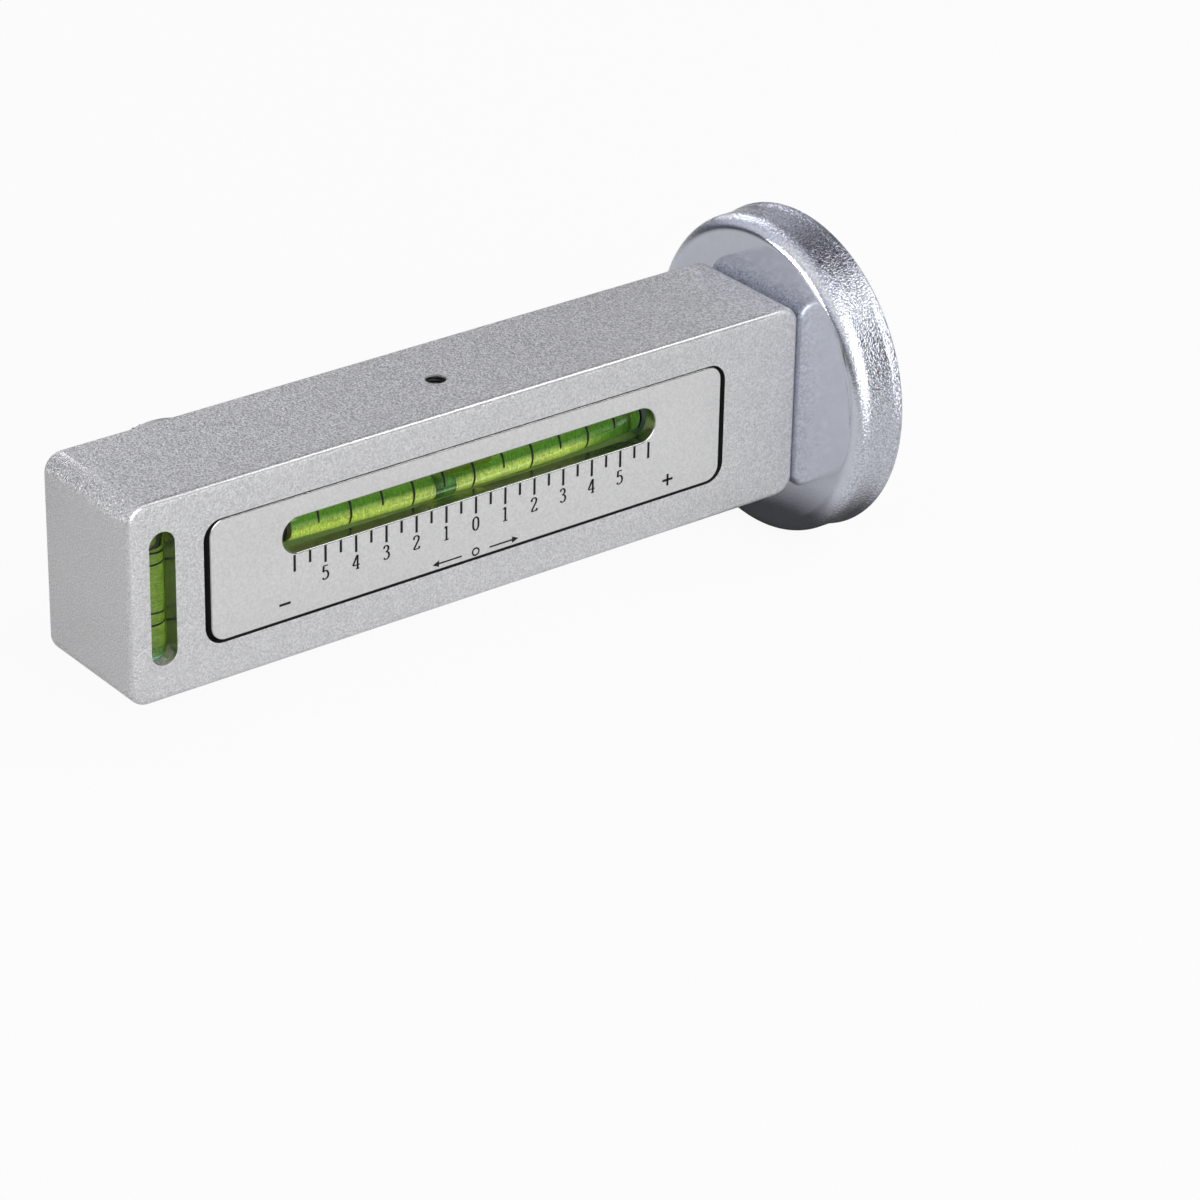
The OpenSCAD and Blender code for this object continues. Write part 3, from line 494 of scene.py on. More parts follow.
def blasted_aluminium(tree, look):
    """Aluminium, blasted with coarse beads and anodised silver: a half-matt metal whose
    dimples sparkle where the light grazes them. Real dimples are 0.1 to 0.2 mm wide; here
    they are 0.2 to 0.4 mm, so that they show. Swirls of 3 mm drift through them. The bar's
    end corners, which the beads struck from two sides, and its top and underside are
    rougher, and the eased edges of its front and back are smoother, so that they shine as a
    line. On the end corners, the top and the underside the grain's tone also spreads from
    0.52 to 1.48 of the colour, not 0.78 to 1.19: painted sparkle, light and dark specks that
    stand in for light grazing the dimples."""
    coarse = grain(tree, 0.42 * MM, 2, 0.6, (0.3, 0.7))
    fine = grain(tree, 0.24 * MM, 1, 0.5, (0.3, 0.7))
    swirl = grain(tree, 3 * MM, 2, 0.6)
    dimple = add_node(tree, "Math", {0: coarse, 1: fine}, operation="ADD")
    dimple = add_node(tree, "Math", {0: dimple, 1: 1.0}, operation="SUBTRACT")
    along, across, upwards = (turned_to(tree, axis) for axis in range(3))
    # The end corners face both along and up, and the eased edges face 0.62 across
    corner = add_node(tree, "Math", {0: along, 1: upwards}, operation="MULTIPLY")
    struck = add_node(tree, "MapRange", {0: corner, 1: 0.1, 2: 0.4})
    level = add_node(tree, "MapRange", {0: upwards, 1: 0.6, 2: 0.98})
    tilted = add_node(tree, "Math", {0: across, 1: 0.62}, operation="SUBTRACT")
    tilted = add_node(tree, "Math", {0: tilted}, operation="ABSOLUTE")
    uneased = add_node(tree, "MapRange", {0: tilted, 1: 0.25, 2: 0.36})
    for part, low, high in ((struck, 1.0, 1.25), (uneased, 0.12, 1.0), (level, 1.0, 1.6)):
        dimple = add_node(tree, "Math", {0: dimple, 1: between(tree, part, low, high)},
                          operation="MULTIPLY")
    # Painted sparkle: the grain's tone spreads wider on the top, the underside and the end
    # corners
    painted_sparkle_share = add_node(tree, "Math", {0: level, 1: struck}, operation="MAXIMUM")
    dark = between(tree, painted_sparkle_share, shade(look.blasted, 0.78), shade(look.blasted, 0.52))
    light = between(tree, painted_sparkle_share, shade(look.blasted, 1.19), shade(look.blasted, 1.48))
    rough = add_node(tree, "Math", {0: struck, 1: -0.12, 2: between(tree, swirl, 0.36, 0.46)},
                     operation="MULTIPLY_ADD")
    rough = add_node(tree, "Mix", {0: uneased, 2: 0.28, 3: rough})
    bump = add_node(tree, "Bump", {"Strength": 1.0, "Distance": 0.045 * MM, "Height": dimple})
    return add_node(tree, "BsdfPrincipled", {
        "Base Color": between(tree, fine, dark, light), "Metallic": 0.5, "Roughness": rough,
        "Coat Weight": 0.5, "Coat Roughness": 0.2, "Normal": bump})


def satin_aluminium(tree, look):
    """Rolled aluminium sheet, etched and anodised to a fine satin: smooth, even and a touch
    warmer than the bar, with a few hairline scratches. Its faint grain of 0.1 mm is drawn
    at 0.3 mm, so that it shows."""
    fine = grain(tree, 0.34 * MM, 2, 0.6, (0.3, 0.7))
    cloud = grain(tree, 6 * MM, 2, 0.5, (0.3, 0.7))
    place = add_node(tree, "TexCoord").outputs["Object"]
    turn = add_node(tree, "Mapping", {"Vector": place, "Rotation": (0.2, 0.6, 0.1),
                                      "Scale": (1 / (9 * MM), 1 / (9 * MM), 1 / (0.35 * MM))})
    hair = add_node(tree, "TexNoise", {"Vector": turn, "Scale": 1, "Detail": 1})
    scratch = add_node(tree, "MapRange", {0: hair, 1: 0.74, 2: 0.78})
    tone = between(tree, fine, shade(look.satin, 0.9), shade(look.satin, 1.08))
    bump = add_node(tree, "Bump", {"Strength": 0.6, "Distance": 0.012 * MM, "Height": fine})
    return add_node(tree, "BsdfPrincipled", {
        "Base Color": between(tree, scratch, tone, shade(look.satin, 0.85)),
        "Metallic": 0.45, "Coat Weight": 0.4, "Coat Roughness": 0.18,
        "Roughness": between(tree, cloud, 0.36, 0.44), "Normal": bump})


def screen_ink(tree, look):
    """Screen-printed epoxy ink: a thin black film, slightly uneven and half matt."""
    fine = grain(tree, 0.12 * MM)
    return add_node(tree, "BsdfPrincipled", {
        "Base Color": between(tree, fine, shade(look.ink, 0.8), shade(look.ink, 1.5)),
        "Roughness": between(tree, fine, 0.5, 0.65), "Specular IOR Level": 0.25})


# Ratio of the indices of two clear things that bend light alike, and of vapour to spirit
SAME_BEND = 1.0005
VAPOUR_BEND = 1 / 1.36


def let_lamps_through(tree, shader):
    """Lets lamps light what is behind the clear shader, as clear plastic does."""
    shadow = add_node(tree, "LightPath").outputs["Is Shadow Ray"]
    return add_node(tree, "MixShader", {0: shadow, 1: shader,
                                        2: add_node(tree, "BsdfTransparent")})


def polished_acrylic(tree, look):
    """Extruded acrylic tube, polished: clear, IOR 1.49, very smooth, with soft waves of 2.5
    mm from the drawing."""
    wave = add_node(tree, "Bump", {"Strength": 0.05, "Distance": 0.02 * MM,
                                   "Height": grain(tree, 2.5 * MM, 1)})
    return let_lamps_through(tree, add_node(tree, "BsdfPrincipled", {
        "Base Color": (*look.acrylic, 1), "Roughness": 0.015, "IOR": 1.49,
        "Transmission Weight": 1.0, "Normal": wave}))


def wetted_acrylic(tree, look):
    """The bore of an acrylic tube where the liquid wets it: both bend light about alike, so
    the border between them can't be seen."""
    return let_lamps_through(tree, add_node(tree, "BsdfGlass", {"IOR": SAME_BEND}))


def green_spirit(tree, look):
    """Dyed spirit: clear and yellow-green, a little deeper in slow clouds of 5 mm. The tint
    is what one pass through its surface takes out. Its specks of 0.2 mm are painted sparkle,
    standing in for the glints of the coarse floor seen through it."""
    slow = grain(tree, 5 * MM, 1)
    # Painted sparkle: specks in the spirit's tint
    speck = grain(tree, 0.22 * MM, 1, 0.5, (0.42, 0.56))
    dark = between(tree, slow, shade(look.spirit, 0.84), shade(look.spirit, 0.87))
    light = between(tree, slow, shade(look.spirit, 0.97), look.spirit)
    return let_lamps_through(tree, add_node(tree, "BsdfGlass", {
        "Color": between(tree, speck, dark, light), "IOR": SAME_BEND}))


def vapour(tree, look):
    """A bubble in the spirit. Vapour bends light less than spirit, so the bubble's turned
    edges mirror like silver."""
    return let_lamps_through(tree, add_node(tree, "BsdfGlass", {
        "Color": (*look.vapour, 1), "IOR": VAPOUR_BEND}))


def floor_painted_caustic(tree, look):
    """The floor of the camber vial's pocket. A white stripe with a coarse grain of 0.3 mm that
    follows the vial's arch is painted light: the caustic that the vial focuses on the floor.
    Below the stripe, and from 22 to 28 mm past the zero on, the floor is painted shade: the
    green etch tone at half, where the vial and the pocket's wall shade it. The stripe's edge
    is z = z0 - 2.35 mm + 0.8 (x - x0)^2 in metres, and it fades over 0.6 mm."""
    place = add_node(tree, "TexCoord").outputs["Object"]
    x0, z0 = centre("pivot_pin")[0], centre("camber_vial_plugs")[2]
    spot = add_node(tree, "SeparateXYZ", {0: place}).outputs
    off = add_node(tree, "Math", {0: spot[0], 1: x0}, operation="SUBTRACT")
    square = add_node(tree, "Math", {0: off, 1: off}, operation="MULTIPLY")
    edge = add_node(tree, "Math", {0: square, 1: 0.8, 2: z0 - 2.35 * MM},
                    operation="MULTIPLY_ADD")
    above = add_node(tree, "Math", {0: spot[2], 1: edge}, operation="SUBTRACT")
    # Painted caustic: the white stripe stands in for the light that the vial focuses on the
    # floor
    stripe = add_node(tree, "MapRange", {0: above, 1: -0.25 * MM, 2: 0.35 * MM})
    # Painted shade from 22 to 28 mm past the zero, where the pocket's wall shades the floor
    reach = add_node(tree, "MapRange", {0: off, 1: 28 * MM, 2: 22 * MM})
    painted_caustic_share = add_node(tree, "Math", {0: stripe, 1: reach}, operation="MULTIPLY")
    speck = grain(tree, 0.3 * MM, 1, 0.5, (0.3, 0.62))
    white = between(tree, speck, shade(look.primer, 0.58), look.primer)
    bump = add_node(tree, "Bump", {"Strength": 0.5, "Distance": 0.03 * MM, "Height": speck})
    # Below the stripe the floor is painted shade: the green etch tone at half
    return add_node(tree, "BsdfPrincipled", {
        "Base Color": between(tree, painted_caustic_share, shade(look.etch, 0.5), white),
        "Roughness": 0.6, "Normal": bump})


def bright_zinc(tree, look):
    """Pressed steel, barrelled and bright zinc-plated with a blue passivate: a near mirror,
    faintly lavender, with soft rubs of 2 mm. The drawn wall keeps the orange peel of the
    steel, 0.2 mm wide and drawn at 0.3 mm so that it shows, and over the same grains its tone
    runs from 0.6 to 1.2 of the colour: painted sparkle. The flat back has hardly any."""
    rub = grain(tree, 2 * MM, 3, 0.6, (0.3, 0.75))
    peel = grain(tree, 0.3 * MM, 2, 0.6, (0.32, 0.68))
    drawn = add_node(tree, "MapRange", {0: turned_to(tree, 0), 1: 0.5, 2: 0.98, 3: 1.0,
                                        4: 0.08})
    rubbed = between(tree, rub, shade(look.zinc, 0.95), look.zinc)
    # Painted sparkle: the drawn wall's tone speckled over the orange peel's grains
    painted_sparkle_tone = between(tree, peel, shade(look.zinc, 0.6), shade(look.zinc, 1.2))
    height = add_node(tree, "Math", {0: peel, 1: drawn}, operation="MULTIPLY")
    bump = add_node(tree, "Bump", {"Strength": 1.0, "Distance": 0.05 * MM, "Height": height})
    haze = add_node(tree, "Math", {0: drawn, 1: 0.04, 2: between(tree, rub, 0.07, 0.1)},
                    operation="MULTIPLY_ADD")
    return add_node(tree, "BsdfPrincipled", {
        "Base Color": between(tree, drawn, rubbed, painted_sparkle_tone), "Metallic": 1.0,
        "Roughness": haze, "Normal": bump})


def even_grain(tree, tone, size, spread, metallic, rough, depth):
    """A finish with an even grain: the tone varies by spread over grains of one size, the
    roughness by 15 %, and the surface has dimples of that depth."""
    speck = grain(tree, size * MM)
    bump = add_node(tree, "Bump", {"Strength": 0.4, "Distance": depth * MM, "Height": speck})
    return add_node(tree, "BsdfPrincipled", {
        "Base Color": between(tree, speck, shade(tone, 1 - spread), shade(tone, 1 + spread)),
        "Metallic": metallic, "Roughness": between(tree, speck, rough * 0.85, rough * 1.15),
        "Normal": bump})


# Finishes with a making of their own: key, real finish, maker of the shader
OWN_FINISHES = (
    ("bar_aluminium", "Bead-blasted silver anodised aluminium", blasted_aluminium),
    ("plate_aluminium", "Satin anodised aluminium sheet", satin_aluminium),
    ("black_ink", "Screen-printed black ink", screen_ink),
    ("acrylic", "Polished clear acrylic", polished_acrylic),
    ("wetted", "Wetted acrylic bore", wetted_acrylic),
    ("green_liquid", "Yellow-green spirit", green_spirit),
    ("bubble", "Vapour bubble", vapour),
    ("plated_steel", "Bright blue-passivated zinc plate", bright_zinc),
    # The pocket floor's finish is a painted caustic stripe with painted shade round it
    ("floor_painted_caustic", "Sprayed white primer", floor_painted_caustic),
)

# Finishes with an even grain: key, real finish, colour and its factor, grain in mm, spread
# of the tone, metallic, roughness, depth of the dimples in mm. Grains finer than 0.2 mm are
# drawn at 0.2 mm or more, so that they show
EVEN_FINISHES = (
    # Cast rod, parted off: pale green, half gloss, with slow clouds
    ("green_plug", "Pale green cast acrylic", "plug", 1, 0.8, 0.1, 0, 0.25, 0.01),
    # Fresh from the cutter: bright and crisp, almost without grain
    ("cut_aluminium", "Milled bright aluminium", "cut", 1, 0.3, 0.06, 1.0, 0.22, 0.004),
    # Foam squeezed out of a joint: dead matt black
    # Foam tape in the joints: dead matt black, as painted shade for the narrow gaps round the
    # plates
    ("black_tape", "Acrylic foam tape", "tape", 1, 0.3, 0.3, 0, 0.9, 0.02),
    # Thin etch primer over milled metal: yellow-green, matt, slightly mottled
    # Camber pocket's walls: yellow-green, matt, slightly mottled; the green is painted light,
    # the light that comes through the spirit
    ("etched_wall", "Green etch primer", "wall", 1, 0.4, 0.12, 0, 0.55, 0.02),
    # Cross vial's bore: pale, matt and a little gritty; its pale green tone is painted light
    # that lights the vial from behind
    ("primed_bore", "Sprayed pale primer", "bore", 1, 0.3, 0.15, 0, 0.6, 0.02),
    # Soft moulding with talc on it: matt, grey-green
    ("black_rubber", "Moulded grey-green rubber", "collar", 1, 0.2, 0.15, 0, 0.6, 0.02),
    # Fine crystals of zinc phosphate: grey-green, dull, hardly metallic
    ("phosphate", "Zinc-phosphated steel", "phosphate", 1, 0.3, 0.15, 0.3, 0.55, 0.01),
    # Spark-eroded mould: even, half-matt grey
    ("grey_plastic", "Moulded grey nylon", "nylon", 1, 0.25, 0.1, 0, 0.5, 0.01),
    # Milled from bar: black, half matt, with faint tool marks
    ("black_acetal", "Machined black acetal", "acetal", 1, 0.3, 0.2, 0, 0.42, 0.01),
    # Oiled black oxide: almost black, with a metal sheen
    ("dark_steel", "Black-oxide steel", "oxide", 1, 0.2, 0.25, 0.8, 0.4, 0.01),
    # Turned, then anodised: duller and smoother than the blasted bar
    ("housing_aluminium", "Turned silver anodised aluminium", "blasted", 0.8, 0.2, 0.06, 0.6,
     0.5, 0.008),
    # Chemically browned and handled: dark brown with golden specks
    ("aged_brass", "Browned brass", "brass", 1, 0.35, 0.35, 0.85, 0.42, 0.01),
    # Rolled strip: smooth and bright
    ("spring_steel", "Bright spring steel", "steel", 1, 0.3, 0.1, 1.0, 0.3, 0.006),
    # Ground ceramic: dark grey with a weak sheen
    ("ferrite", "Ground ferrite", "ferrite", 1, 0.3, 0.2, 0.25, 0.5, 0.01),
    # Poured level: black, half gloss, slightly wavy
    ("black_resin", "Cast black epoxy", "ink", 1, 0.6, 0.2, 0, 0.3, 0.01),
)
FINISHES = {}


def make_finishes(look):
    """All the finishes of the gauge, most of them under the name of their slot."""
    for key, name, make in OWN_FINISHES:
        FINISHES[key] = new_finish(name, make, look)
    for key, name, tone, factor, *values in EVEN_FINISHES:
        FINISHES[key] = new_finish(name, even_grain, shade(getattr(look, tone), factor),
                                   *values)


# Pieces

# The bar's and the plates' finishes, in the order of their material slots
BAR_FINISHES = ("bar_aluminium", "black_tape", "cut_aluminium", "etched_wall",
                "floor_painted_caustic", "primed_bore")
PLATE_FINISHES = ("plate_aluminium", "black_tape", "cut_aluminium")
FACE, TAPE_PAINTED_SHADE, CUT, WALL_PAINTED_LIGHT, FLOOR_PAINTED_CAUSTIC, BORE_PAINTED_LIGHT = range(len(BAR_FINISHES))


class GAUGE_OT_bar(bpy.types.Operator):
    """Builds the bar with its pockets, bores, slot and the thread of its pivot hole"""

    bl_idname = "gauge.bar"
    bl_label = "Bar"

    def execute(self, context):
        size = context.scene.gauge_bar
        lo, hi = corners("bar_body")
        middle = (lo + hi) / 2
        theta = np.radians(np.linspace(0, 90, 7))
        inset = size.edge * (1 - np.sin(theta))
        step = size.edge * (1 - np.cos(theta))
        rows = list(zip(inset, lo[1] + step)) + list(zip(inset[::-1], hi[1] - step[::-1]))
        wide, tall = hi[0] - lo[0], hi[2] - lo[2]
        rings = []
        for take, y in rows:
            ring = rounded(wide - 2 * take, tall - 2 * take, size.corner - take)
            rings.append(np.stack([ring[:, 0] + middle[0], np.full(len(ring), y),
                                   ring[:, 1] + middle[2]], -1))
        piece = new_object("gauge_bar", build_mesh("gauge_bar", np.stack(rings), caps=True))
        carve(piece, bar_cutters(size, lo, hi))
        piece.data.materials.clear()
        for finish in BAR_FINISHES:
            piece.data.materials.append(FINISHES[finish])
        finish_pockets(piece.data, size)
        break_edges(piece, size.rim).material = CUT
        dress(piece, "root", "bar_aluminium", "bar_body")
        pivot_thread(size, hi)
        return {"FINISHED"}


def pocket_middles(size):
    """Middles of the front and the back plate's pocket, as x and z."""
    front, back = centre("camber_plate"), centre("back_plate")
    return (front[0] - size.pocket_shift, front[2]), (back[0], back[2])


def finish_pockets(mesh, size):
    """Picks the bar's faces by where their middles are, each box of middles for one finish.
    The walls and floors of the plates' pockets carry the tape that holds the plates, black as
    painted shade for the narrow gaps round them, and the slot's walls are bright from the
    cutter. The camber vial's pocket and the cross vial's bore get tones of painted light and
    shade, which light the vials from behind."""
    count = len(mesh.polygons)
    middle = np.empty(count * 3)
    mesh.polygons.foreach_get("center", middle)
    middle = middle.reshape(-1, 3)
    slack = 0.02 * MM
    front, back = (corner[1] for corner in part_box("bar_body"))
    front_floor, back_floor = corners("camber_plate")[1][1], corners("back_plate")[0][1]
    (front_x, front_z), (back_x, back_z) = pocket_middles(size)
    vial, cross = centre("camber_vial_plugs"), centre("cross_vial")
    ring_lo, ring_hi = corners("cross_vial_rings")
    bore = ring_hi[0] - ring_lo[0] + 2 * size.cross_gap
    foot, top = corners("bar_body")[0][2], corners("cross_vial")[1][2]
    vial_x, vial_floor = centre("pivot_pin")[0], front + size.vial_pocket_floor
    plate_pocket = (size.pocket_length, size.pocket_height)
    back_pocket = (size.back_pocket_length, size.pocket_height)
    vial_pocket = (size.vial_pocket_length, size.vial_pocket_height)
    # The tape's black is painted shade; the walls', floor's and bore's tones are painted light
    # and shade of the vials
    boxes = ((TAPE_PAINTED_SHADE, front_x, front_z, *plate_pocket, front + slack, front_floor + slack),
             (TAPE_PAINTED_SHADE, back_x, back_z, *back_pocket, back_floor - slack, back - slack),
             (BORE_PAINTED_LIGHT, cross[0], (foot + top) / 2, bore, top - foot - slack,
              cross[1] - bore / 2 - slack, cross[1] + bore / 2 + slack),
             (CUT, cross[0], front_z + size.slot_lift, size.slot_width, size.slot_length,
              front + slack, cross[1]),
             (WALL_PAINTED_LIGHT, vial_x, vial[2], *vial_pocket, front_floor + slack, vial_floor - slack),
             (FLOOR_PAINTED_CAUSTIC, vial_x, vial[2], *vial_pocket, vial_floor - slack, vial_floor + slack))
    slots = np.full(count, FACE)
    for slot, x, z, wide, tall, near, far in boxes:
        slots[(abs(middle[:, 0] - x) < wide / 2 + slack)
              & (abs(middle[:, 2] - z) < tall / 2 + slack)
              & (middle[:, 1] > near) & (middle[:, 1] < far)] = slot
    mesh.polygons.foreach_set("material_index", slots)


def bar_cutters(size, lo, hi):
    """The spaces cut out of the bar, each set by the pieces that sit in it."""
    out = 1 * MM
    vial, cross = centre("camber_vial_plugs"), centre("cross_vial")
    cap_lo, cap_hi = corners("cross_vial_cap")
    cross_lo, cross_hi = corners("cross_vial_rings")
    pin = centre("pivot_pin")
    screw_lo, screw_hi = corners("magnet_screw")
    arm_lo, arm_hi = corners("caster_carrier")
    housing = centre("adjuster_housing")
    low = arm_lo[2] - size.arm_below
    high = low + size.arm_height
    front, end = arm_lo[1] - size.arm_front, arm_hi[0] + size.arm_front
    (pocket_x, pocket_z), (back_x, back_z) = pocket_middles(size)
    hub, hub_y = size.hub_bore, corners("caster_vial")[0][1]
    return [
        prism(rounded(size.pocket_length, size.pocket_height, size.pocket_corner), pocket_x,
              pocket_z, lo[1] - out, corners("camber_plate")[1][1]),
        prism(rounded(size.vial_pocket_length, size.vial_pocket_height,
                      size.vial_pocket_corner), pin[0], vial[2], lo[1] - out,
              lo[1] + size.vial_pocket_floor),
        prism(rounded(size.slot_width, size.slot_length, size.slot_width / 2 - size.fit),
              cross[0], (lo[2] + hi[2]) / 2 + size.slot_lift, lo[1] - out, cross[1] + out),
        cylinder(cross, 2, (cross_hi[0] - cross_lo[0]) / 2 + size.cross_gap, lo[2] - out,
                 corners("cross_vial")[1][2]),
        cylinder(cross, 2, (cap_hi[0] - cap_lo[0]) / 2 + size.fit, lo[2] - out, cap_hi[2]),
        cylinder(pin, 2, size.pivot_bore, lo[2] - out, hi[2] + out),
        prism(rounded(size.back_pocket_length, size.pocket_height, size.pocket_corner),
              back_x, back_z, corners("back_plate")[0][1], hi[1] + out),
        box_points([arm_lo[0] + size.arm_start, front, low],
                   [end, hi[1] - size.arm_back, high]),
        box_points([back_x - size.back_room, front, low], [end, hi[1], high]),
        cylinder(pin, 2, hub, low, high),
        box_points([pin[0] - hub, pin[1], low], [pin[0] + hub, hub_y, high]),
        cylinder(housing, 1, size.housing_bore, arm_lo[1] + size.housing_seat, hi[1] + out),
        cylinder((screw_lo + screw_hi) / 2, 0, size.screw_bore, screw_lo[0], hi[0] + out),
    ]


def pivot_thread(size, hi):
    """The thread above the set screw: a sleeve whose inner radius swings by a third of a
    pitch, r = r0 - depth * (1 + cos(2 pi (z / pitch - a / 2 pi))) / 2, open at both ends."""
    pin = centre("pivot_pin")
    low = corners("pivot_set_screw")[1][2]
    outer, depth, steps = size.pivot_bore, size.thread_depth, 64
    z = np.linspace(low, hi[2] - size.hole_chamfer, 40)
    a = np.linspace(0, 2 * np.pi, steps, endpoint=False)
    wave = np.cos(2 * np.pi * z[:, None] / size.thread_pitch - a[None, :])
    inner = turned(np.stack([np.full(40, outer), z], -1), [pin[0], pin[1], 0], 2, steps,
                   -depth * (1 + wave) / 2)
    wall = turned(np.array([[outer, z[-1]], [outer, z[0]]]), [pin[0], pin[1], 0], 2, steps)
    mesh = build_mesh("pivot_thread", np.concatenate([inner, wall]), close_rows=True)
    dress(new_object("pivot_thread", mesh), "root", "dark_steel")


class GAUGE_OT_plates(bpy.types.Operator):
    """Builds the front and the back scale plate"""

    bl_idname = "gauge.plates"
    bl_label = "Scale plates"

    def execute(self, context):
        size = context.scene.gauge_plate
        zero = centre("pivot_pin")[0]
        vial_z = centre("camber_vial_plugs")[2]
        front = (zero + size.window_shift, vial_z + size.window_lift)
        back = (centre("back_plate")[0], centre("caster_vial_plugs")[2])
        scale_plate(size, "camber_plate", front, size.window_length, -1)
        scale_plate(size, "back_plate", back, size.back_window_length, 1)
        return {"FINISHED"}


def scale_plate(size, node, window, window_length, side):
    """A plate as a closed band: its section runs from the outer edge over the eased rim and
    the face to the window's eased rim, and back behind. The outer sides carry the tape, black
    as painted shade for the gaps round the plate, and the rims and the window's wall are cut
    bright."""
    lo, hi = corners(node)
    middle = (lo + hi) / 2
    face, rear = (lo[1], hi[1]) if side < 0 else (hi[1], lo[1])
    theta = np.radians(np.linspace(0, 90, 5))
    drop = size.rim * (1 - np.sin(theta))
    take = size.rim * (1 - np.cos(theta))
    outside = (hi[0] - lo[0], hi[2] - lo[2], size.corner, middle[0], middle[2])
    inside = (window_length, size.window_height, size.window_height / 2 - size.window_flat,
              *window)
    rows = [(0, rear, outside)]
    rows += [(t, face - side * d, outside) for t, d in zip(take, drop)]
    rows += [(-t, face - side * d, inside) for t, d in zip(take[::-1], drop[::-1])]
    rows += [(0, rear, inside)]
    rings = []
    for inset, y, (wide, tall, radius, x, z) in rows:
        ring = rounded(wide - 2 * inset, tall - 2 * inset, radius - inset)
        rings.append(np.stack([ring[:, 0] + x, np.full(len(ring), y), ring[:, 1] + z], -1))
    rim = len(theta) - 1
    slots = [TAPE_PAINTED_SHADE] + [CUT] * rim + [FACE] + [CUT] * (rim + 1) + [FACE]
    mesh = build_mesh(node, np.stack(rings), close_rows=True, slots=slots)
    for finish in PLATE_FINISHES:
        mesh.materials.append(FINISHES[finish])
    dress(new_object("gauge_" + node, mesh), "root", "plate_aluminium", node)


# What both scales show: half degrees and numbers on either side of the camber scale's zero,
# degrees on either side of the caster scale's zero, and its numbered degrees
CAMBER_HALF_DEGREES = 12
CAMBER_NUMBERS = 5
CASTER_DEGREES = 5
CASTER_NUMBERS = (-3, 0, 3)


class GAUGE_OT_scales(bpy.types.Operator):
    """Prints the scale lines, numbers and signs on both plates"""

    bl_idname = "gauge.scales"
    bl_label = "Scales"

    def execute(self, context):
        size = context.scene.gauge_scale
        plate = context.scene.gauge_plate
        zero = centre("pivot_pin")[0]
        vial_z = centre("camber_vial_plugs")[2]
        line_top = vial_z + plate.window_lift - plate.window_height / 2 - size.line_gap
        strokes = []
        for k in range(-CAMBER_HALF_DEGREES, CAMBER_HALF_DEGREES + 1):
            tall = size.short_line if k % 2 else size.long_line
            x = zero + k * size.camber_degree / 2
            strokes.append(bar_stroke(size, x, line_top, x, line_top - tall))
        for k in range(-CAMBER_NUMBERS, CAMBER_NUMBERS + 1):
            strokes += digit(str(abs(k)), zero + k * size.camber_degree,
                             line_top - size.long_line - size.digit_drop
                             - size.digit_height, size.digit_height)
        front = corners("camber_plate")[0][1]
        print_ink("camber_scale_ink", strokes + camber_signs(size, zero), front, -1, size.ink,
                  "camber_scale_lines")
        strokes = []
        caster_x, caster_z = centre("back_plate")[0], centre("caster_vial_plugs")[2]
        base = caster_z + plate.window_height / 2 + size.line_gap
        for k in range(-CASTER_DEGREES, CASTER_DEGREES + 1):
            tall = size.long_line if k in CASTER_NUMBERS else size.short_line
            x = caster_x + k * size.caster_degree
            strokes.append(bar_stroke(size, x, base, x, base + tall))
        # The caster scale is read with the gauge turned over. Seen from behind, x already
        # runs the other way, so only the numbers' heights change sign
        foot = base + size.long_line + size.digit_drop + size.digit_height
        for k in CASTER_NUMBERS:
            strokes += [s * [1, -1] + [caster_x + k * size.caster_degree, foot]
                        for s in digit(str(abs(k)), 0, 0, size.digit_height)]
        print_ink("caster_scale_ink", strokes, corners("back_plate")[1][1], 1, size.ink,
                  "back_scale_lines")
        return {"FINISHED"}


def bar_stroke(size, x0, z0, x1, z1):
    """A straight stroke of the line width with square ends."""
    return nib_stroke(np.array([[x0, z0], [x1, z1]]), size.line_width, size.line_width)


def nib_stroke(path, upright_width, level_width):
    """A pen's stroke along a path: at each point the width is the square root of
    (upright * dz)^2 + (level * dx)^2, where dx and dz are the stroke's direction."""
    slope = np.gradient(path, axis=0)
    slope /= np.linalg.norm(slope, axis=1, keepdims=True)
    width = np.hypot(upright_width * slope[:, 1], level_width * slope[:, 0])[:, None]
    across = np.stack([-slope[:, 1], slope[:, 0]], -1)
    return np.stack([path + across * width / 2, path - across * width / 2])


def smooth_path(points, steps=8):
    """A Catmull-Rom curve through the points, whose ends are repeated."""
    p = np.array([points[0], *points, points[-1]], float)
    t = np.linspace(0, 1, steps, endpoint=False)[:, None]
    parts = [0.5 * ((2 * b) + (c - a) * t + (2 * a - 5 * b + 4 * c - d) * t ** 2
                    + (3 * b - a - 3 * c + d) * t ** 3)
             for a, b, c, d in zip(p, p[1:], p[2:], p[3:])]
    return np.concatenate([*parts, p[-1:]])


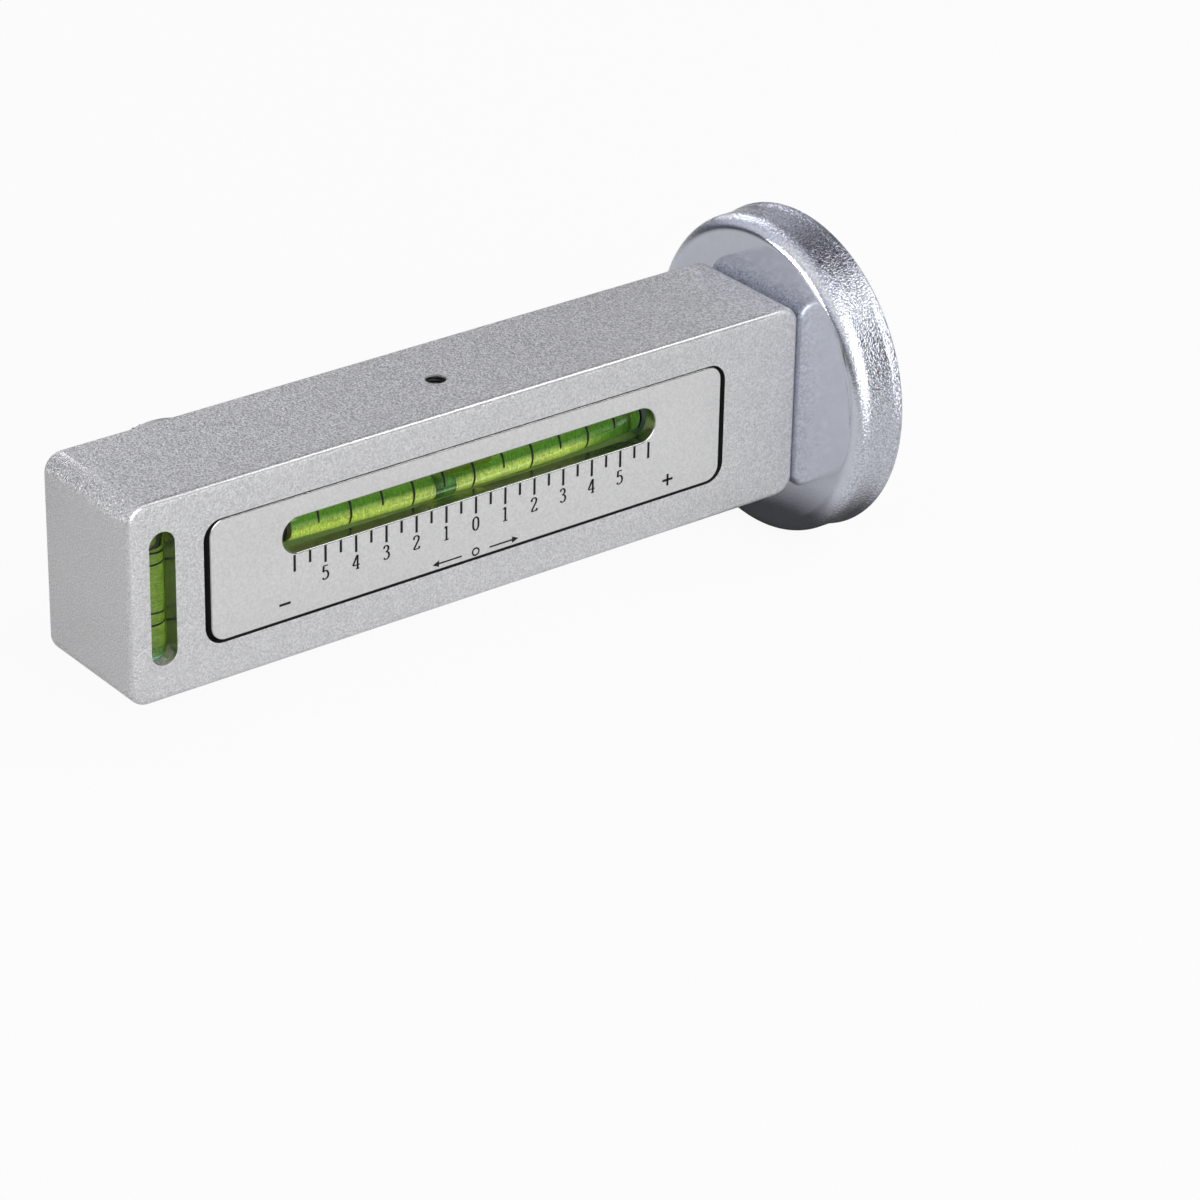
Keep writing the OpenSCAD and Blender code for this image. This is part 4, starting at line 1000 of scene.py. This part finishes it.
# Strokes of the numbers, as shares of their height: curved ones and straight ones
DIGIT_SHARES = {
    "0": ([[(0.27, 0.97), (0.1, 0.82), (0.06, 0.5), (0.1, 0.18), (0.27, 0.03), (0.44, 0.18),
            (0.48, 0.5), (0.44, 0.82), (0.27, 0.97)]], []),
    "1": ([], [[(0.29, 0.03), (0.29, 0.98)], [(0.13, 0.86), (0.29, 0.98)],
               [(0.12, 0.025), (0.46, 0.025)]]),
    "2": ([[(0.08, 0.74), (0.1, 0.9), (0.26, 0.98), (0.43, 0.88), (0.42, 0.66), (0.24, 0.36),
            (0.06, 0.06)]], [[(0.06, 0.05), (0.47, 0.05)], [(0.46, 0.04), (0.5, 0.2)]]),
    "3": ([[(0.07, 0.8), (0.14, 0.94), (0.29, 0.97), (0.41, 0.84), (0.38, 0.64),
            (0.22, 0.54)], [(0.22, 0.54), (0.4, 0.47), (0.47, 0.27), (0.38, 0.07),
                            (0.2, 0.03), (0.06, 0.14)]], []),
    "4": ([], [[(0.38, 0.03), (0.38, 0.98)], [(0.36, 0.98), (0.03, 0.3)],
               [(0.02, 0.29), (0.54, 0.29)], [(0.26, 0.025), (0.5, 0.025)]]),
    "5": ([[(0.1, 0.53), (0.22, 0.6), (0.38, 0.55), (0.47, 0.34), (0.42, 0.12), (0.26, 0.02),
            (0.12, 0.04), (0.06, 0.14)]], [[(0.13, 0.95), (0.1, 0.53)],
                                           [(0.12, 0.95), (0.45, 0.95)]]),
}
# Shares of a number's height: its middle, the widths of upright and of level strokes, and
# the width and half the length of the strokes of the plus and minus signs
DIGIT_MIDDLE_SHARE = 0.28
UPRIGHT_SHARE = 0.15
LEVEL_SHARE = 0.08
HEAVY_SHARE = 0.17
SIGN_SHARE = 0.42


def digit(figure, x, z, height):
    """The strokes of one number, centred on x with its foot at z."""
    curves, straights = DIGIT_SHARES[figure]
    paths = [smooth_path(c) for c in curves] + [np.array(s, float) for s in straights]
    place = np.array([x - DIGIT_MIDDLE_SHARE * height, z])
    return [nib_stroke(place + p * height, UPRIGHT_SHARE * height, LEVEL_SHARE * height)
            for p in paths]


def camber_signs(size, zero):
    """A minus and a plus sign beside the scale, and a degree sign between two arrows under
    its middle."""
    heavy, half = HEAVY_SHARE * size.digit_height, SIGN_SHARE * size.digit_height
    low = corners("camber_plate")[0][2]
    left, right = zero - size.minus_reach, zero + size.plus_reach
    sign_z, arrow_z = low + size.sign_lift, low + size.arrow_lift
    signs = [[(left - half, sign_z), (left + half, sign_z)],
             [(right - half, sign_z), (right + half, sign_z)],
             [(right, sign_z - half), (right, sign_z + half)]]
    strokes = [nib_stroke(np.array(s, float), heavy, heavy) for s in signs]
    a = np.linspace(0, 2 * np.pi, 33)
    ring = [zero, arrow_z] + size.degree_radius * np.stack([np.cos(a), np.sin(a)], -1)
    strokes.append(nib_stroke(ring, size.thin_line, size.thin_line))
    for side in (-1, 1):
        tip, tail = zero + side * size.arrow_tip, zero + side * size.arrow_tail
        back = tip - side * size.arrow_head
        strokes.append(nib_stroke(np.array([[tail, arrow_z], [back, arrow_z]]),
                                  size.thin_line, size.thin_line))
        strokes.append(np.array([[[back, arrow_z + up], [tip, arrow_z]]
                                 for up in (size.arrow_half, -size.arrow_half)]))
    return strokes


def print_ink(name, strokes, face, side, height, *nodes):
    """Makes one mesh of all strokes: each is a ribbon with a top, a foot below the face and
    closed sides."""
    loops = []
    for ribbon in strokes:
        top = np.stack([ribbon[..., 0], np.full(ribbon.shape[:2], face + side * height),
                        ribbon[..., 1]], -1)
        foot = top - [0, side * 3 * height, 0]
        loops.append(np.stack([top[0], top[1], foot[1], foot[0]], 1))
    dress(new_object(name, joined(name, loops, caps=True)), "root", "black_ink", *nodes)


# How far round a long vial its marks reach, in degrees, and the rows of points along it
LONG_MARK = 128
SHORT_MARK = 92
CASTER_MARK = 130
VIAL_ROWS = 97


class GAUGE_OT_vials(bpy.types.Operator):
    """Builds the three vials with their liquid, bubbles, plugs and marks"""

    bl_idname = "gauge.vials"
    bl_label = "Vials"

    def execute(self, context):
        size = context.scene.gauge_vial
        scale = context.scene.gauge_scale
        r = size.diameter / 2
        camber_lo, camber_hi = corners("camber_vial")
        apex = (centre("pivot_pin")[0], camber_lo[1] + r, centre("camber_vial_plugs")[2])
        half = size.arch * math.asin((camber_hi[0] - camber_lo[0]) / 2 / (size.arch + r))
        long_vial(size, "camber", "root", apex, -1, half)
        shift = size.mark_shift / (scale.camber_degree / 2)
        whole = CAMBER_HALF_DEGREES // 2
        marks = [(2 * k + shift, SHORT_MARK if k % 2 else LONG_MARK)
                 for k in range(-whole, whole + 1)]
        rings(size, "camber_vial_marks", "root", marks, scale.camber_degree / 2, apex, -1, 90)
        caster_lo, caster_hi = corners("caster_vial")
        apex = ((caster_lo[0] + caster_hi[0]) / 2, caster_hi[1] - r,
                centre("caster_vial_plugs")[2])
        half = size.arch * math.asin((caster_hi[0] - caster_lo[0]) / 2 / (size.arch + r))
        long_vial(size, "caster", "caster_carrier", apex, 1, half)
        marks = [(k, CASTER_MARK) for k in CASTER_NUMBERS]
        rings(size, "caster_vial_marks", "caster_carrier", marks, scale.caster_degree, apex,
              1, -90)
        cross_vial(size)
        return {"FINISHED"}


def tube_section(size, low, high, closed=False):
    """Section of a vial as (radius, height) rows round the wall, with eased end rims. A
    closed tube has a flat end at high."""
    r, b, e = size.diameter / 2, size.bore / 2, size.rim
    s = np.linspace(low + e, high - e, VIAL_ROWS)
    outer = np.stack([np.full(VIAL_ROWS, r), s], -1)
    inner = np.stack([np.full(VIAL_ROWS, b), s[::-1]], -1)
    start = arc(r - e, low + e, e, 270, 360, 3)[:-1]
    end = arc(r - e, high - e, e, 0, 90, 3)[1:]
    if closed:
        top = high - size.end_wall
        s = np.linspace(low, top, 40)
        inner = np.stack([np.full(40, b), s[::-1]], -1)
        return np.concatenate([start, outer, end, [[0, high], [0, top]], inner]), len(inner)
    foot = [[b, high], *inner, [b, low]]
    return np.concatenate([start, outer, end, foot]), len(foot)


def vial_tube(size, name, body, low, high, place, seat, node, closed=False):
    """The tube: its bore is a face of its own finish, because the liquid wets it."""
    section, wet = tube_section(size, low, high, closed)
    straight = turned(section, (0, 0, 0), 0, 96)
    slots = [0] * (len(section) - wet) + [1] * (wet - 1) + [0]
    mesh = build_mesh(name, place(straight, *seat), close_rows=True, slots=slots)
    for finish in ("acrylic", "wetted"):
        mesh.materials.append(FINISHES[finish])
    dress(new_object(name, mesh), body, "acrylic", node)


def rod(radius, low, high, steps):
    """A straight rod along X with eased ends, closed at its poles."""
    s = np.linspace(low, high, steps)
    section = np.stack([np.full(steps, radius), s], -1)
    eased = 0.96 * radius
    return turned(np.concatenate([[[0, low], [eased, low]], section[1:-1],
                                  [[eased, high], [0, high]]]), (0, 0, 0), 0, 96)


def bubble_points(size, half):
    """A flattened bubble along X: at share t of its half length its depth is
    d (1 - t^4)^(1/4), its upper side lies along the bore and its lower side sags by an
    eighth of the depth."""
    reach = size.bore / 2 - size.bubble_gap
    t = np.sin(np.radians(np.linspace(-90, 90, 41)))
    depth = np.maximum(size.bubble_depth * (1 - t ** 4) ** 0.25, 1e-6)
    edge = np.arccos(1 - depth / reach)
    u = np.linspace(-1, 1, 33)
    top = edge[:, None] * u[None, :]
    upper = np.stack([reach * np.sin(top), reach * np.cos(top)], -1)
    wide = reach * np.sin(edge)[:, None] * u[None, ::-1]
    sag = 0.12 * depth[:, None] * (1 - u[None, ::-1] ** 2)
    lower = np.stack([wide, (reach * np.cos(edge))[:, None] - sag], -1)
    ring = np.concatenate([upper, lower[:, 1:-1]], 1)
    s = np.repeat((half * t)[:, None], ring.shape[1], 1)
    return np.stack([s, ring[..., 0], ring[..., 1]], -1)


def long_vial(size, kind, body, apex, side, half):
    """An arched vial: tube, two plugs, liquid and bubble, bent from straight ones."""
    seat = (apex, side, size.arch)
    vial_tube(size, f"gauge_{kind}_vial", body, -half, half, bent, seat, f"{kind}_vial")
    inner = half - size.plug
    wet = size.bore / 2 - size.film
    liquid = bent(rod(wet, -inner, inner, VIAL_ROWS), *seat)
    dress(new_object(f"gauge_{kind}_liquid", build_mesh(f"{kind}_liquid", liquid)), body,
          "green_liquid", f"{kind}_liquid")
    plugs = [bent(rod(wet, low, high, 9), *seat)
             for low, high in ((-half, -inner - size.film), (inner + size.film, half))]
    dress(new_object(f"gauge_{kind}_plugs", joined(f"{kind}_plugs", plugs)), body,
          "green_plug", f"{kind}_vial_plugs")
    node_lo, node_hi = corners(f"{kind}_bubble")
    air = bent(bubble_points(size, (node_hi[0] - node_lo[0]) / 2), *seat)
    dress(new_object(f"gauge_{kind}_bubble", build_mesh(f"{kind}_bubble", air)),
          f"{kind}_bubble", "bubble", f"{kind}_bubble")


def rings(size, name, body, marks, step, apex, side, top):
    """Marks printed round an arched vial: (place in steps, span in degrees) each. A mark is
    a band whose turn runs from top, in degrees, round the front, widest in its middle."""
    r = size.diameter / 2
    u = np.linspace(0, 1, 49)
    wide = size.mark_width * (0.72 + 0.28 * np.sin(np.pi * u)) / 2
    wide[[0, -1]] *= 0.5
    corner = ((-1, r), (-1, r + size.mark_ink), (1, r + size.mark_ink), (1, r))
    bands = []
    for k, span in marks:
        turn = np.radians(top + span * u)
        straight = np.stack([np.stack([k * step + sx * wide, rad * np.cos(turn),
                                       rad * np.sin(turn)], -1) for sx, rad in corner], 1)
        bands.append(bent(straight, apex, side, size.arch))
    dress(new_object("gauge_" + name, joined(name, bands, caps=True)), body, "black_ink",
          name)


def cross_vial(size):
    """The small vial across the bar's end, standing on its cap, with its rings."""
    lo, hi = corners("cross_vial")
    middle = (lo + hi) / 2
    base = (middle[0], middle[1], 0)
    vial_tube(size, "gauge_cross_vial", "root", lo[2], hi[2], upright, (base,), "cross_vial",
              closed=True)
    plug_lo, plug_hi = corners("cross_vial_plug")
    wet = size.bore / 2 - size.film
    top = hi[2] - size.end_wall - size.film
    for name, low, high, slot in (
            ("cross_liquid", plug_hi[2] + size.film, top, "green_liquid"),
            ("cross_vial_plug", plug_lo[2], plug_hi[2], "green_plug")):
        mesh = build_mesh(name, upright(rod(wet, low, high, 33), base))
        dress(new_object("gauge_" + name, mesh), "root", slot, name)
    node_lo, node_hi = corners("cross_bubble")
    spot = (middle[0], middle[1], (node_lo[2] + node_hi[2]) / 2)
    air = upright(bubble_points(size, (node_hi[2] - node_lo[2]) / 2), spot)
    dress(new_object("gauge_cross_bubble", build_mesh("cross_bubble", air)), "cross_bubble",
          "bubble", "cross_bubble")
    ring_lo, ring_hi = corners("cross_vial_rings")
    r, w = size.diameter / 2, size.mark_width * 0.4
    bands = [turned(np.array([[r, z - w], [r + size.mark_ink, z - w],
                              [r + size.mark_ink, z + w], [r, z + w]]), base, 2, 96)
             for z in (ring_lo[2] + w, ring_hi[2] - w)]
    mesh = joined("cross_vial_rings", bands, close_rows=True)
    dress(new_object("gauge_cross_rings", mesh), "root", "black_ink", "cross_vial_rings")


class GAUGE_OT_adjuster(bpy.types.Operator):
    """Builds the adjuster's housing and knurled wheel"""

    bl_idname = "gauge.adjuster"
    bl_label = "Adjuster"

    def execute(self, context):
        size = context.scene.gauge_adjuster
        lo, hi = corners("adjuster_housing")
        axis_point = ((lo[0] + hi[0]) / 2, 0, (lo[2] + hi[2]) / 2)
        r, bar_back = (hi[0] - lo[0]) / 2, corners("bar_body")[1][1]
        bore = size.screw + size.screw_gap
        outline = [[bore, lo[1]], [size.spigot, lo[1]], [size.spigot, bar_back],
                   [r, bar_back]]
        rim = arc(r - size.ease, hi[1] - size.ease, size.ease, 0, 90, 6)
        step = hi[1] - size.dish
        face = [[0.62 * r, hi[1]], [0.6 * r, step], [bore, step]]
        section = np.concatenate([outline, rim, face])
        mesh = build_mesh("housing", turned(section, axis_point, 1, 160), close_rows=True)
        dress(new_object("gauge_adjuster_housing", mesh), "root", "housing_aluminium",
              "adjuster_housing")
        knurled_wheel(size, axis_point)
        return {"FINISHED"}


def knurled_wheel(size, axis_point):
    """A wheel whose flange swings by the knurl's depth: r = R - depth * (1 - cos(n a))^0.7,
    with chamfers towards both faces, a round hub behind it and a counterbore for the screw's
    head."""
    lo, hi = corners("adjuster_knob")
    head = corners("adjuster_screw")
    r, c, back = (hi[0] - lo[0]) / 2, size.chamfer, lo[1] + size.flange
    bore, seat = size.screw + size.fit, (head[1][0] - head[0][0]) / 2 + size.fit
    step = hi[1] - size.screw_head
    section = np.array([[bore, lo[1]], [r - c, lo[1]], [r, lo[1] + c], [r, back - c],
                        [r - c, back], [size.hub + c, back], [size.hub, back + c],
                        [size.hub, hi[1] - c], [size.hub - c, hi[1]], [seat + c, hi[1]],
                        [seat, hi[1] - c], [seat, step], [bore, step]])
    share = np.array([0, 0.2, 1, 1, 0.2] + [0] * 8, float)
    steps = size.teeth * 12
    a = np.linspace(0, 2 * np.pi, steps, endpoint=False)
    tooth = ((1 - np.cos(size.teeth * a)) / 2) ** 0.7
    ripple = -size.knurl * share[:, None] * tooth[None, :]
    mesh = build_mesh("wheel", turned(section, axis_point, 1, steps, ripple), close_rows=True)
    dress(new_object("gauge_adjuster_wheel", mesh), "adjuster", "aged_brass",
          "adjuster_knob", angle=30)


class GAUGE_OT_magnet(bpy.types.Operator):
    """Turns the magnet's cup, and dresses its ferrite ring, resin, core and screw"""

    bl_idname = "gauge.magnet"
    bl_label = "Magnet"

    def execute(self, context):
        size = context.scene.gauge_magnet
        lo, hi = corners("magnet_cup")
        r, lip = size.body / 2, (hi[2] - lo[2]) / 2
        middle = (0, (lo[1] + hi[1]) / 2, (lo[2] + hi[2]) / 2)
        bore, ease, cut, inner = size.bore, size.ease, size.cut, r - size.wall
        section = np.concatenate([
            [[bore, lo[0]]],
            arc(r - size.shoulder, lo[0] + size.shoulder, size.shoulder, -90, 0, 14),
            arc(r + size.sweep, hi[0] - size.flare - ease, size.sweep, 180, 179.2, 2)[1:],
            [[lip, hi[0] - ease]],
            arc(lip - ease, hi[0] - ease, ease, 0, 90, 4)[1:],
            [[inner + cut, hi[0]], [inner, hi[0] - cut],
             [inner, lo[0] + size.floor], [bore, lo[0] + size.floor]]])
        mesh = build_mesh("cup", turned(section, middle, 0, 256), close_rows=True)
        dress(new_object("gauge_magnet_cup", mesh), "root", "plated_steel", "magnet_cup",
              angle=40)
        for node, slot in (("magnet_ring", "ferrite"), ("magnet_resin", "black_resin"),
                           ("magnet_core", "plated_steel"), ("magnet_screw", "plated_steel")):
            dress(copy_of(node, 0.1 * MM), "root", slot, node)
        return {"FINISHED"}


# Parts that keep their CAD shape: node, body, slot, radius of their broken edges in mm
INNER_PARTS = (("caster_carrier", "caster_carrier", "black_acetal", 0.15),
               ("adjuster_nut", "caster_carrier", "aged_brass", 0.1),
               ("adjuster_screw", "adjuster", "aged_brass", 0.1),
               ("adjuster_clip", "adjuster", "spring_steel", 0.05),
               ("adjuster_washer", "root", "spring_steel", 0.05),
               ("pivot_pin", "root", "dark_steel", 0.1),
               ("pivot_set_screw", "root", "dark_steel", 0.08),
               ("cross_vial_cap", "root", "grey_plastic", 0.12),
               ("camber_vial_collars", "root", "black_rubber", 0))
# Nodes whose finish isn't the one of their slot
NODE_FINISHES = {"pivot_pin": "phosphate"}


class GAUGE_OT_inner_parts(bpy.types.Operator):
    """Dresses the small and hidden parts: carrier, pin, screws, nut, clip, washer, cap"""

    bl_idname = "gauge.inner_parts"
    bl_label = "Inner parts"

    def execute(self, context):
        for node, body, slot, ease in INNER_PARTS:
            dress(copy_of(node, ease * MM), body, slot, node, finish=NODE_FINISHES.get(node))
        return {"FINISHED"}


class GAUGE_OT_stage(bpy.types.Operator):
    """Sets up the floor, the soft studio light and the camera"""

    bl_idname = "gauge.stage"
    bl_label = "Stage"

    def execute(self, context):
        scene = context.scene
        scene.view_settings.view_transform = "Standard"
        floor_z, s = CAD_BOX[0][2], FLOOR_REACH
        mesh = bpy.data.meshes.new("floor")
        mesh.from_pydata([(-s, -s, floor_z), (s, -s, floor_z), (s, s, floor_z),
                          (-s, s, floor_z)], [], [(0, 1, 2, 3)])
        mesh.materials.append(new_finish("Matt white board", white_board))
        new_object("floor", mesh)
        studio_world(scene)
        for name, direction, distance, width, power in LAMPS:
            lamp(name, heading(*direction) * distance, width, power)
        photo_camera(scene)
        return {"FINISHED"}


# Lamps: name, azimuth and elevation in degrees, distance and width in metres, power in
# watts
LAMPS = (("key", (-8, 18), 1.3, 1.3, 15.0),
         ("edge", (52, 47), 1.0, 0.34, 1.6),
         ("back", (165, 26), 1.8, 0.5, 3.4),
         ("end", (-120, 4), 1.5, 0.5, 5.2))

# Light and dark cards that gloss sees round the studio: azimuth and elevation in degrees,
# angle to the edge, width of the soft edge, sRGB colour
CARDS = (((100, 50), 24, 14, "3e3e42"),
         ((38, 24), 20, 9, "39352c"),
         ((140, 20), 14, 14, "b0b0b8"),
         ((-110, 44), 8, 12, "fffdf6"),
         ((-75, 40), 8, 12, "fffdf6"),
         ((-50, 18), 8, 12, "fffdf6"))
# The room that gloss sees, its dark horizon, and the sines of the elevations between them
ROOM = "d6d6de"
HORIZON = "5f616b"
HORIZON_SINES = (0.08, 0.22)
# Strength of the room's light on matt surfaces
MATT_FILL = 0.33

# The floor: half its width in metres, the share of it that glows white to the camera and to
# gloss, and how bright gloss sees it in the painted shadow round the magnet's foot and in the
# painted shade far away
FLOOR_REACH = 3.0
FLOOR_WHITE_SHARE = 0.93
FLOOR_GLOSS_SHARE = 0.08
PAINTED_SHADOW_LEVEL = 0.14
PAINTED_FAR_SHADE_LEVEL = 0.2

# The camera: azimuth, elevation and roll in degrees, place in mm, focal length and frame in
# mm
CAMERA_ANGLES = (-38.085, 27.669, -1.207)
CAMERA_PLACE = (-406.863, -473.748, 286.927)
CAMERA_LENS = 139.23
CAMERA_FRAME = 36


def heading(azimuth, elevation):
    """Unit vector to an azimuth, 0 in front and 90 towards the magnet, and an elevation."""
    a, e = math.radians(azimuth), math.radians(elevation)
    return np.array([math.sin(a) * math.cos(e), -math.cos(a) * math.cos(e), math.sin(e)])


def white_board(tree):
    """Matt white board that the camera sees white, with a faint shadow on it. Gloss sees it
    darker, painted: from 0.15 to 0.5 m away it drops to a fifth, painted shade that stands in
    for a dark room, and round the magnet's foot lies a painted shadow, an oval of 30 by 26 mm
    that runs from 0.56 to 0.87 of its size."""
    path = add_node(tree, "LightPath").outputs
    place = add_node(tree, "TexCoord").outputs["Object"]
    foot = (1 * MM, -2 * MM, CAD_BOX[0][2])
    away = add_node(tree, "VectorMath", {0: place, 1: foot}, operation="DISTANCE")
    step = add_node(tree, "VectorMath", {0: place, 1: foot}, operation="SUBTRACT")
    oval = add_node(tree, "VectorMath", {0: step, 1: (1 / (30 * MM), 1 / (26 * MM), 0)},
                    operation="MULTIPLY")
    close = add_node(tree, "VectorMath", {0: oval}, operation="LENGTH")
    # Painted shadow: gloss sees the board darker in an oval round the magnet's foot, and
    # painted shade far away
    near = add_node(tree, "MapRange", {0: close, 1: 0.56, 2: 0.87, 3: PAINTED_SHADOW_LEVEL, 4: 1.0})
    far = add_node(tree, "MapRange", {0: away, 1: 150 * MM, 2: 500 * MM, 3: 1.0,
                                      4: PAINTED_FAR_SHADE_LEVEL})
    both = add_node(tree, "Math", {0: near, 1: far}, operation="MULTIPLY")
    gloss_painted_shade = add_node(tree, "Mix", {0: path["Is Glossy Ray"], 2: 1.0, 3: both})
    tone = between(tree, grain(tree, 2 * MM), (0.8, 0.8, 0.8), (0.82, 0.82, 0.82))
    faded = add_node(tree, "VectorMath", {0: tone, "Scale": gloss_painted_shade}, operation="SCALE")
    board = add_node(tree, "BsdfDiffuse", {"Color": faded})
    glow = add_node(tree, "Emission", {"Strength": gloss_painted_shade})
    to_gloss = add_node(tree, "Math", {0: path["Is Glossy Ray"], 1: FLOOR_GLOSS_SHARE},
                        operation="MULTIPLY")
    to_camera = add_node(tree, "Math", {0: path["Is Camera Ray"], 1: FLOOR_WHITE_SHARE},
                         operation="MULTIPLY")
    share = add_node(tree, "Math", {0: to_camera, 1: to_gloss}, operation="MAXIMUM")
    return add_node(tree, "MixShader", {0: share, 1: board, 2: glow})


def studio_world(scene):
    """A white studio: plain white to the camera and through glass, a grey room with a dark
    horizon and light and dark cards in gloss, and a soft even fill on matt surfaces. A
    card's share is its soft step over the cosine between the ray and the card's middle."""
    world = bpy.data.worlds.new("White studio")
    world.use_nodes = True
    tree = world.node_tree
    tree.nodes.clear()
    path = add_node(tree, "LightPath").outputs
    ray = add_node(tree, "TexCoord").outputs["Generated"]
    height = add_node(tree, "SeparateXYZ", {0: ray}).outputs[2]
    low, high = HORIZON_SINES
    lifted = add_node(tree, "MapRange", {0: height, 1: low, 2: high})
    room = between(tree, lifted, linear(HORIZON), linear(ROOM))
    for direction, edge, soft, code in CARDS:
        facing = add_node(tree, "VectorMath", {0: ray, 1: heading(*direction)},
                          operation="DOT_PRODUCT")
        share = add_node(tree, "MapRange", {0: facing,
                                            1: math.cos(math.radians(edge + soft)),
                                            2: math.cos(math.radians(edge))})
        room = between(tree, share, room, linear(code))
    matt = add_node(tree, "Background", {"Color": (1, 1, 1, 1), "Strength": MATT_FILL})
    gloss = add_node(tree, "Background", {"Color": room})
    white = add_node(tree, "Background", {"Color": (1, 1, 1, 1)})
    lit = add_node(tree, "MixShader", {0: path["Is Glossy Ray"], 1: matt, 2: gloss})
    seen = add_node(tree, "Math", {0: path["Is Camera Ray"], 1: path["Is Transmission Ray"]},
                    operation="MAXIMUM")
    mix = add_node(tree, "MixShader", {0: seen, 1: lit, 2: white})
    add_node(tree, "OutputWorld", {"Surface": mix})
    scene.world = world


def lamp(name, place, width, power):
    """A round soft box that faces the gauge's middle."""
    light = bpy.data.lights.new(name, "AREA")
    light.shape = "DISK"
    light.size = width
    light.energy = power
    made = new_object(name, light)
    target = (CAD_BOX[0] + CAD_BOX[1]) / 2
    made.location = target + type(target)(place)
    made.rotation_euler = (target - made.location).to_track_quat("-Z", "Y").to_euler()


def photo_camera(scene):
    """The camera at the photograph's angle: it stands at an azimuth and elevation of the
    gauge and looks the opposite way, and the roll turns its frame about that line."""
    azimuth, elevation, roll = CAMERA_ANGLES
    roll = math.radians(roll)
    forward = -heading(azimuth, elevation)
    level = np.cross(forward, [0, 0, 1])
    level /= np.linalg.norm(level)
    down = np.cross(forward, level)
    right = math.cos(roll) * level + math.sin(roll) * down
    low = -math.sin(roll) * level + math.cos(roll) * down
    camera = bpy.data.cameras.new("photo_camera")
    camera.sensor_width = CAMERA_FRAME
    camera.lens = CAMERA_LENS
    camera.clip_start = 10 * MM
    made = new_object("photo_camera", camera)
    matrix = np.eye(4)
    matrix[:3, 0], matrix[:3, 1], matrix[:3, 2] = right, -low, -forward
    matrix[:3, 3] = np.array(CAMERA_PLACE) * MM
    made.matrix_world = Matrix(matrix.tolist())
    scene.camera = made


class GAUGE_PT_panel(bpy.types.Panel):
    """Lists the gauge's operators and sizes"""

    bl_label = "Camber caster gauge"
    bl_idname = "GAUGE_PT_panel"
    bl_space_type = "VIEW_3D"
    bl_region_type = "UI"
    bl_category = "Gauge"

    def draw(self, context):
        for operator in OPERATORS:
            self.layout.operator(operator.bl_idname)
        for name, group in zip(NAMES, GROUPS):
            column = self.layout.column(align=True)
            for key in group.__annotations__:
                column.prop(getattr(context.scene, name), key)


OPERATORS = (GAUGE_OT_bar, GAUGE_OT_plates, GAUGE_OT_scales, GAUGE_OT_vials,
             GAUGE_OT_adjuster, GAUGE_OT_magnet, GAUGE_OT_inner_parts, GAUGE_OT_stage)


def register():
    for item in (*GROUPS, *OPERATORS, GAUGE_PT_panel):
        bpy.utils.register_class(item)
    for name, group in zip(NAMES, GROUPS):
        setattr(bpy.types.Scene, name, PointerProperty(type=group))


def unregister():
    for name in NAMES:
        delattr(bpy.types.Scene, name)
    for item in reversed((*GROUPS, *OPERATORS, GAUGE_PT_panel)):
        bpy.utils.unregister_class(item)


def main():
    register()
    make_finishes(bpy.context.scene.gauge_finish)
    for operator in OPERATORS:
        getattr(bpy.ops.gauge, operator.bl_idname.split(".")[1])()


if __name__ == "__main__":
    main()
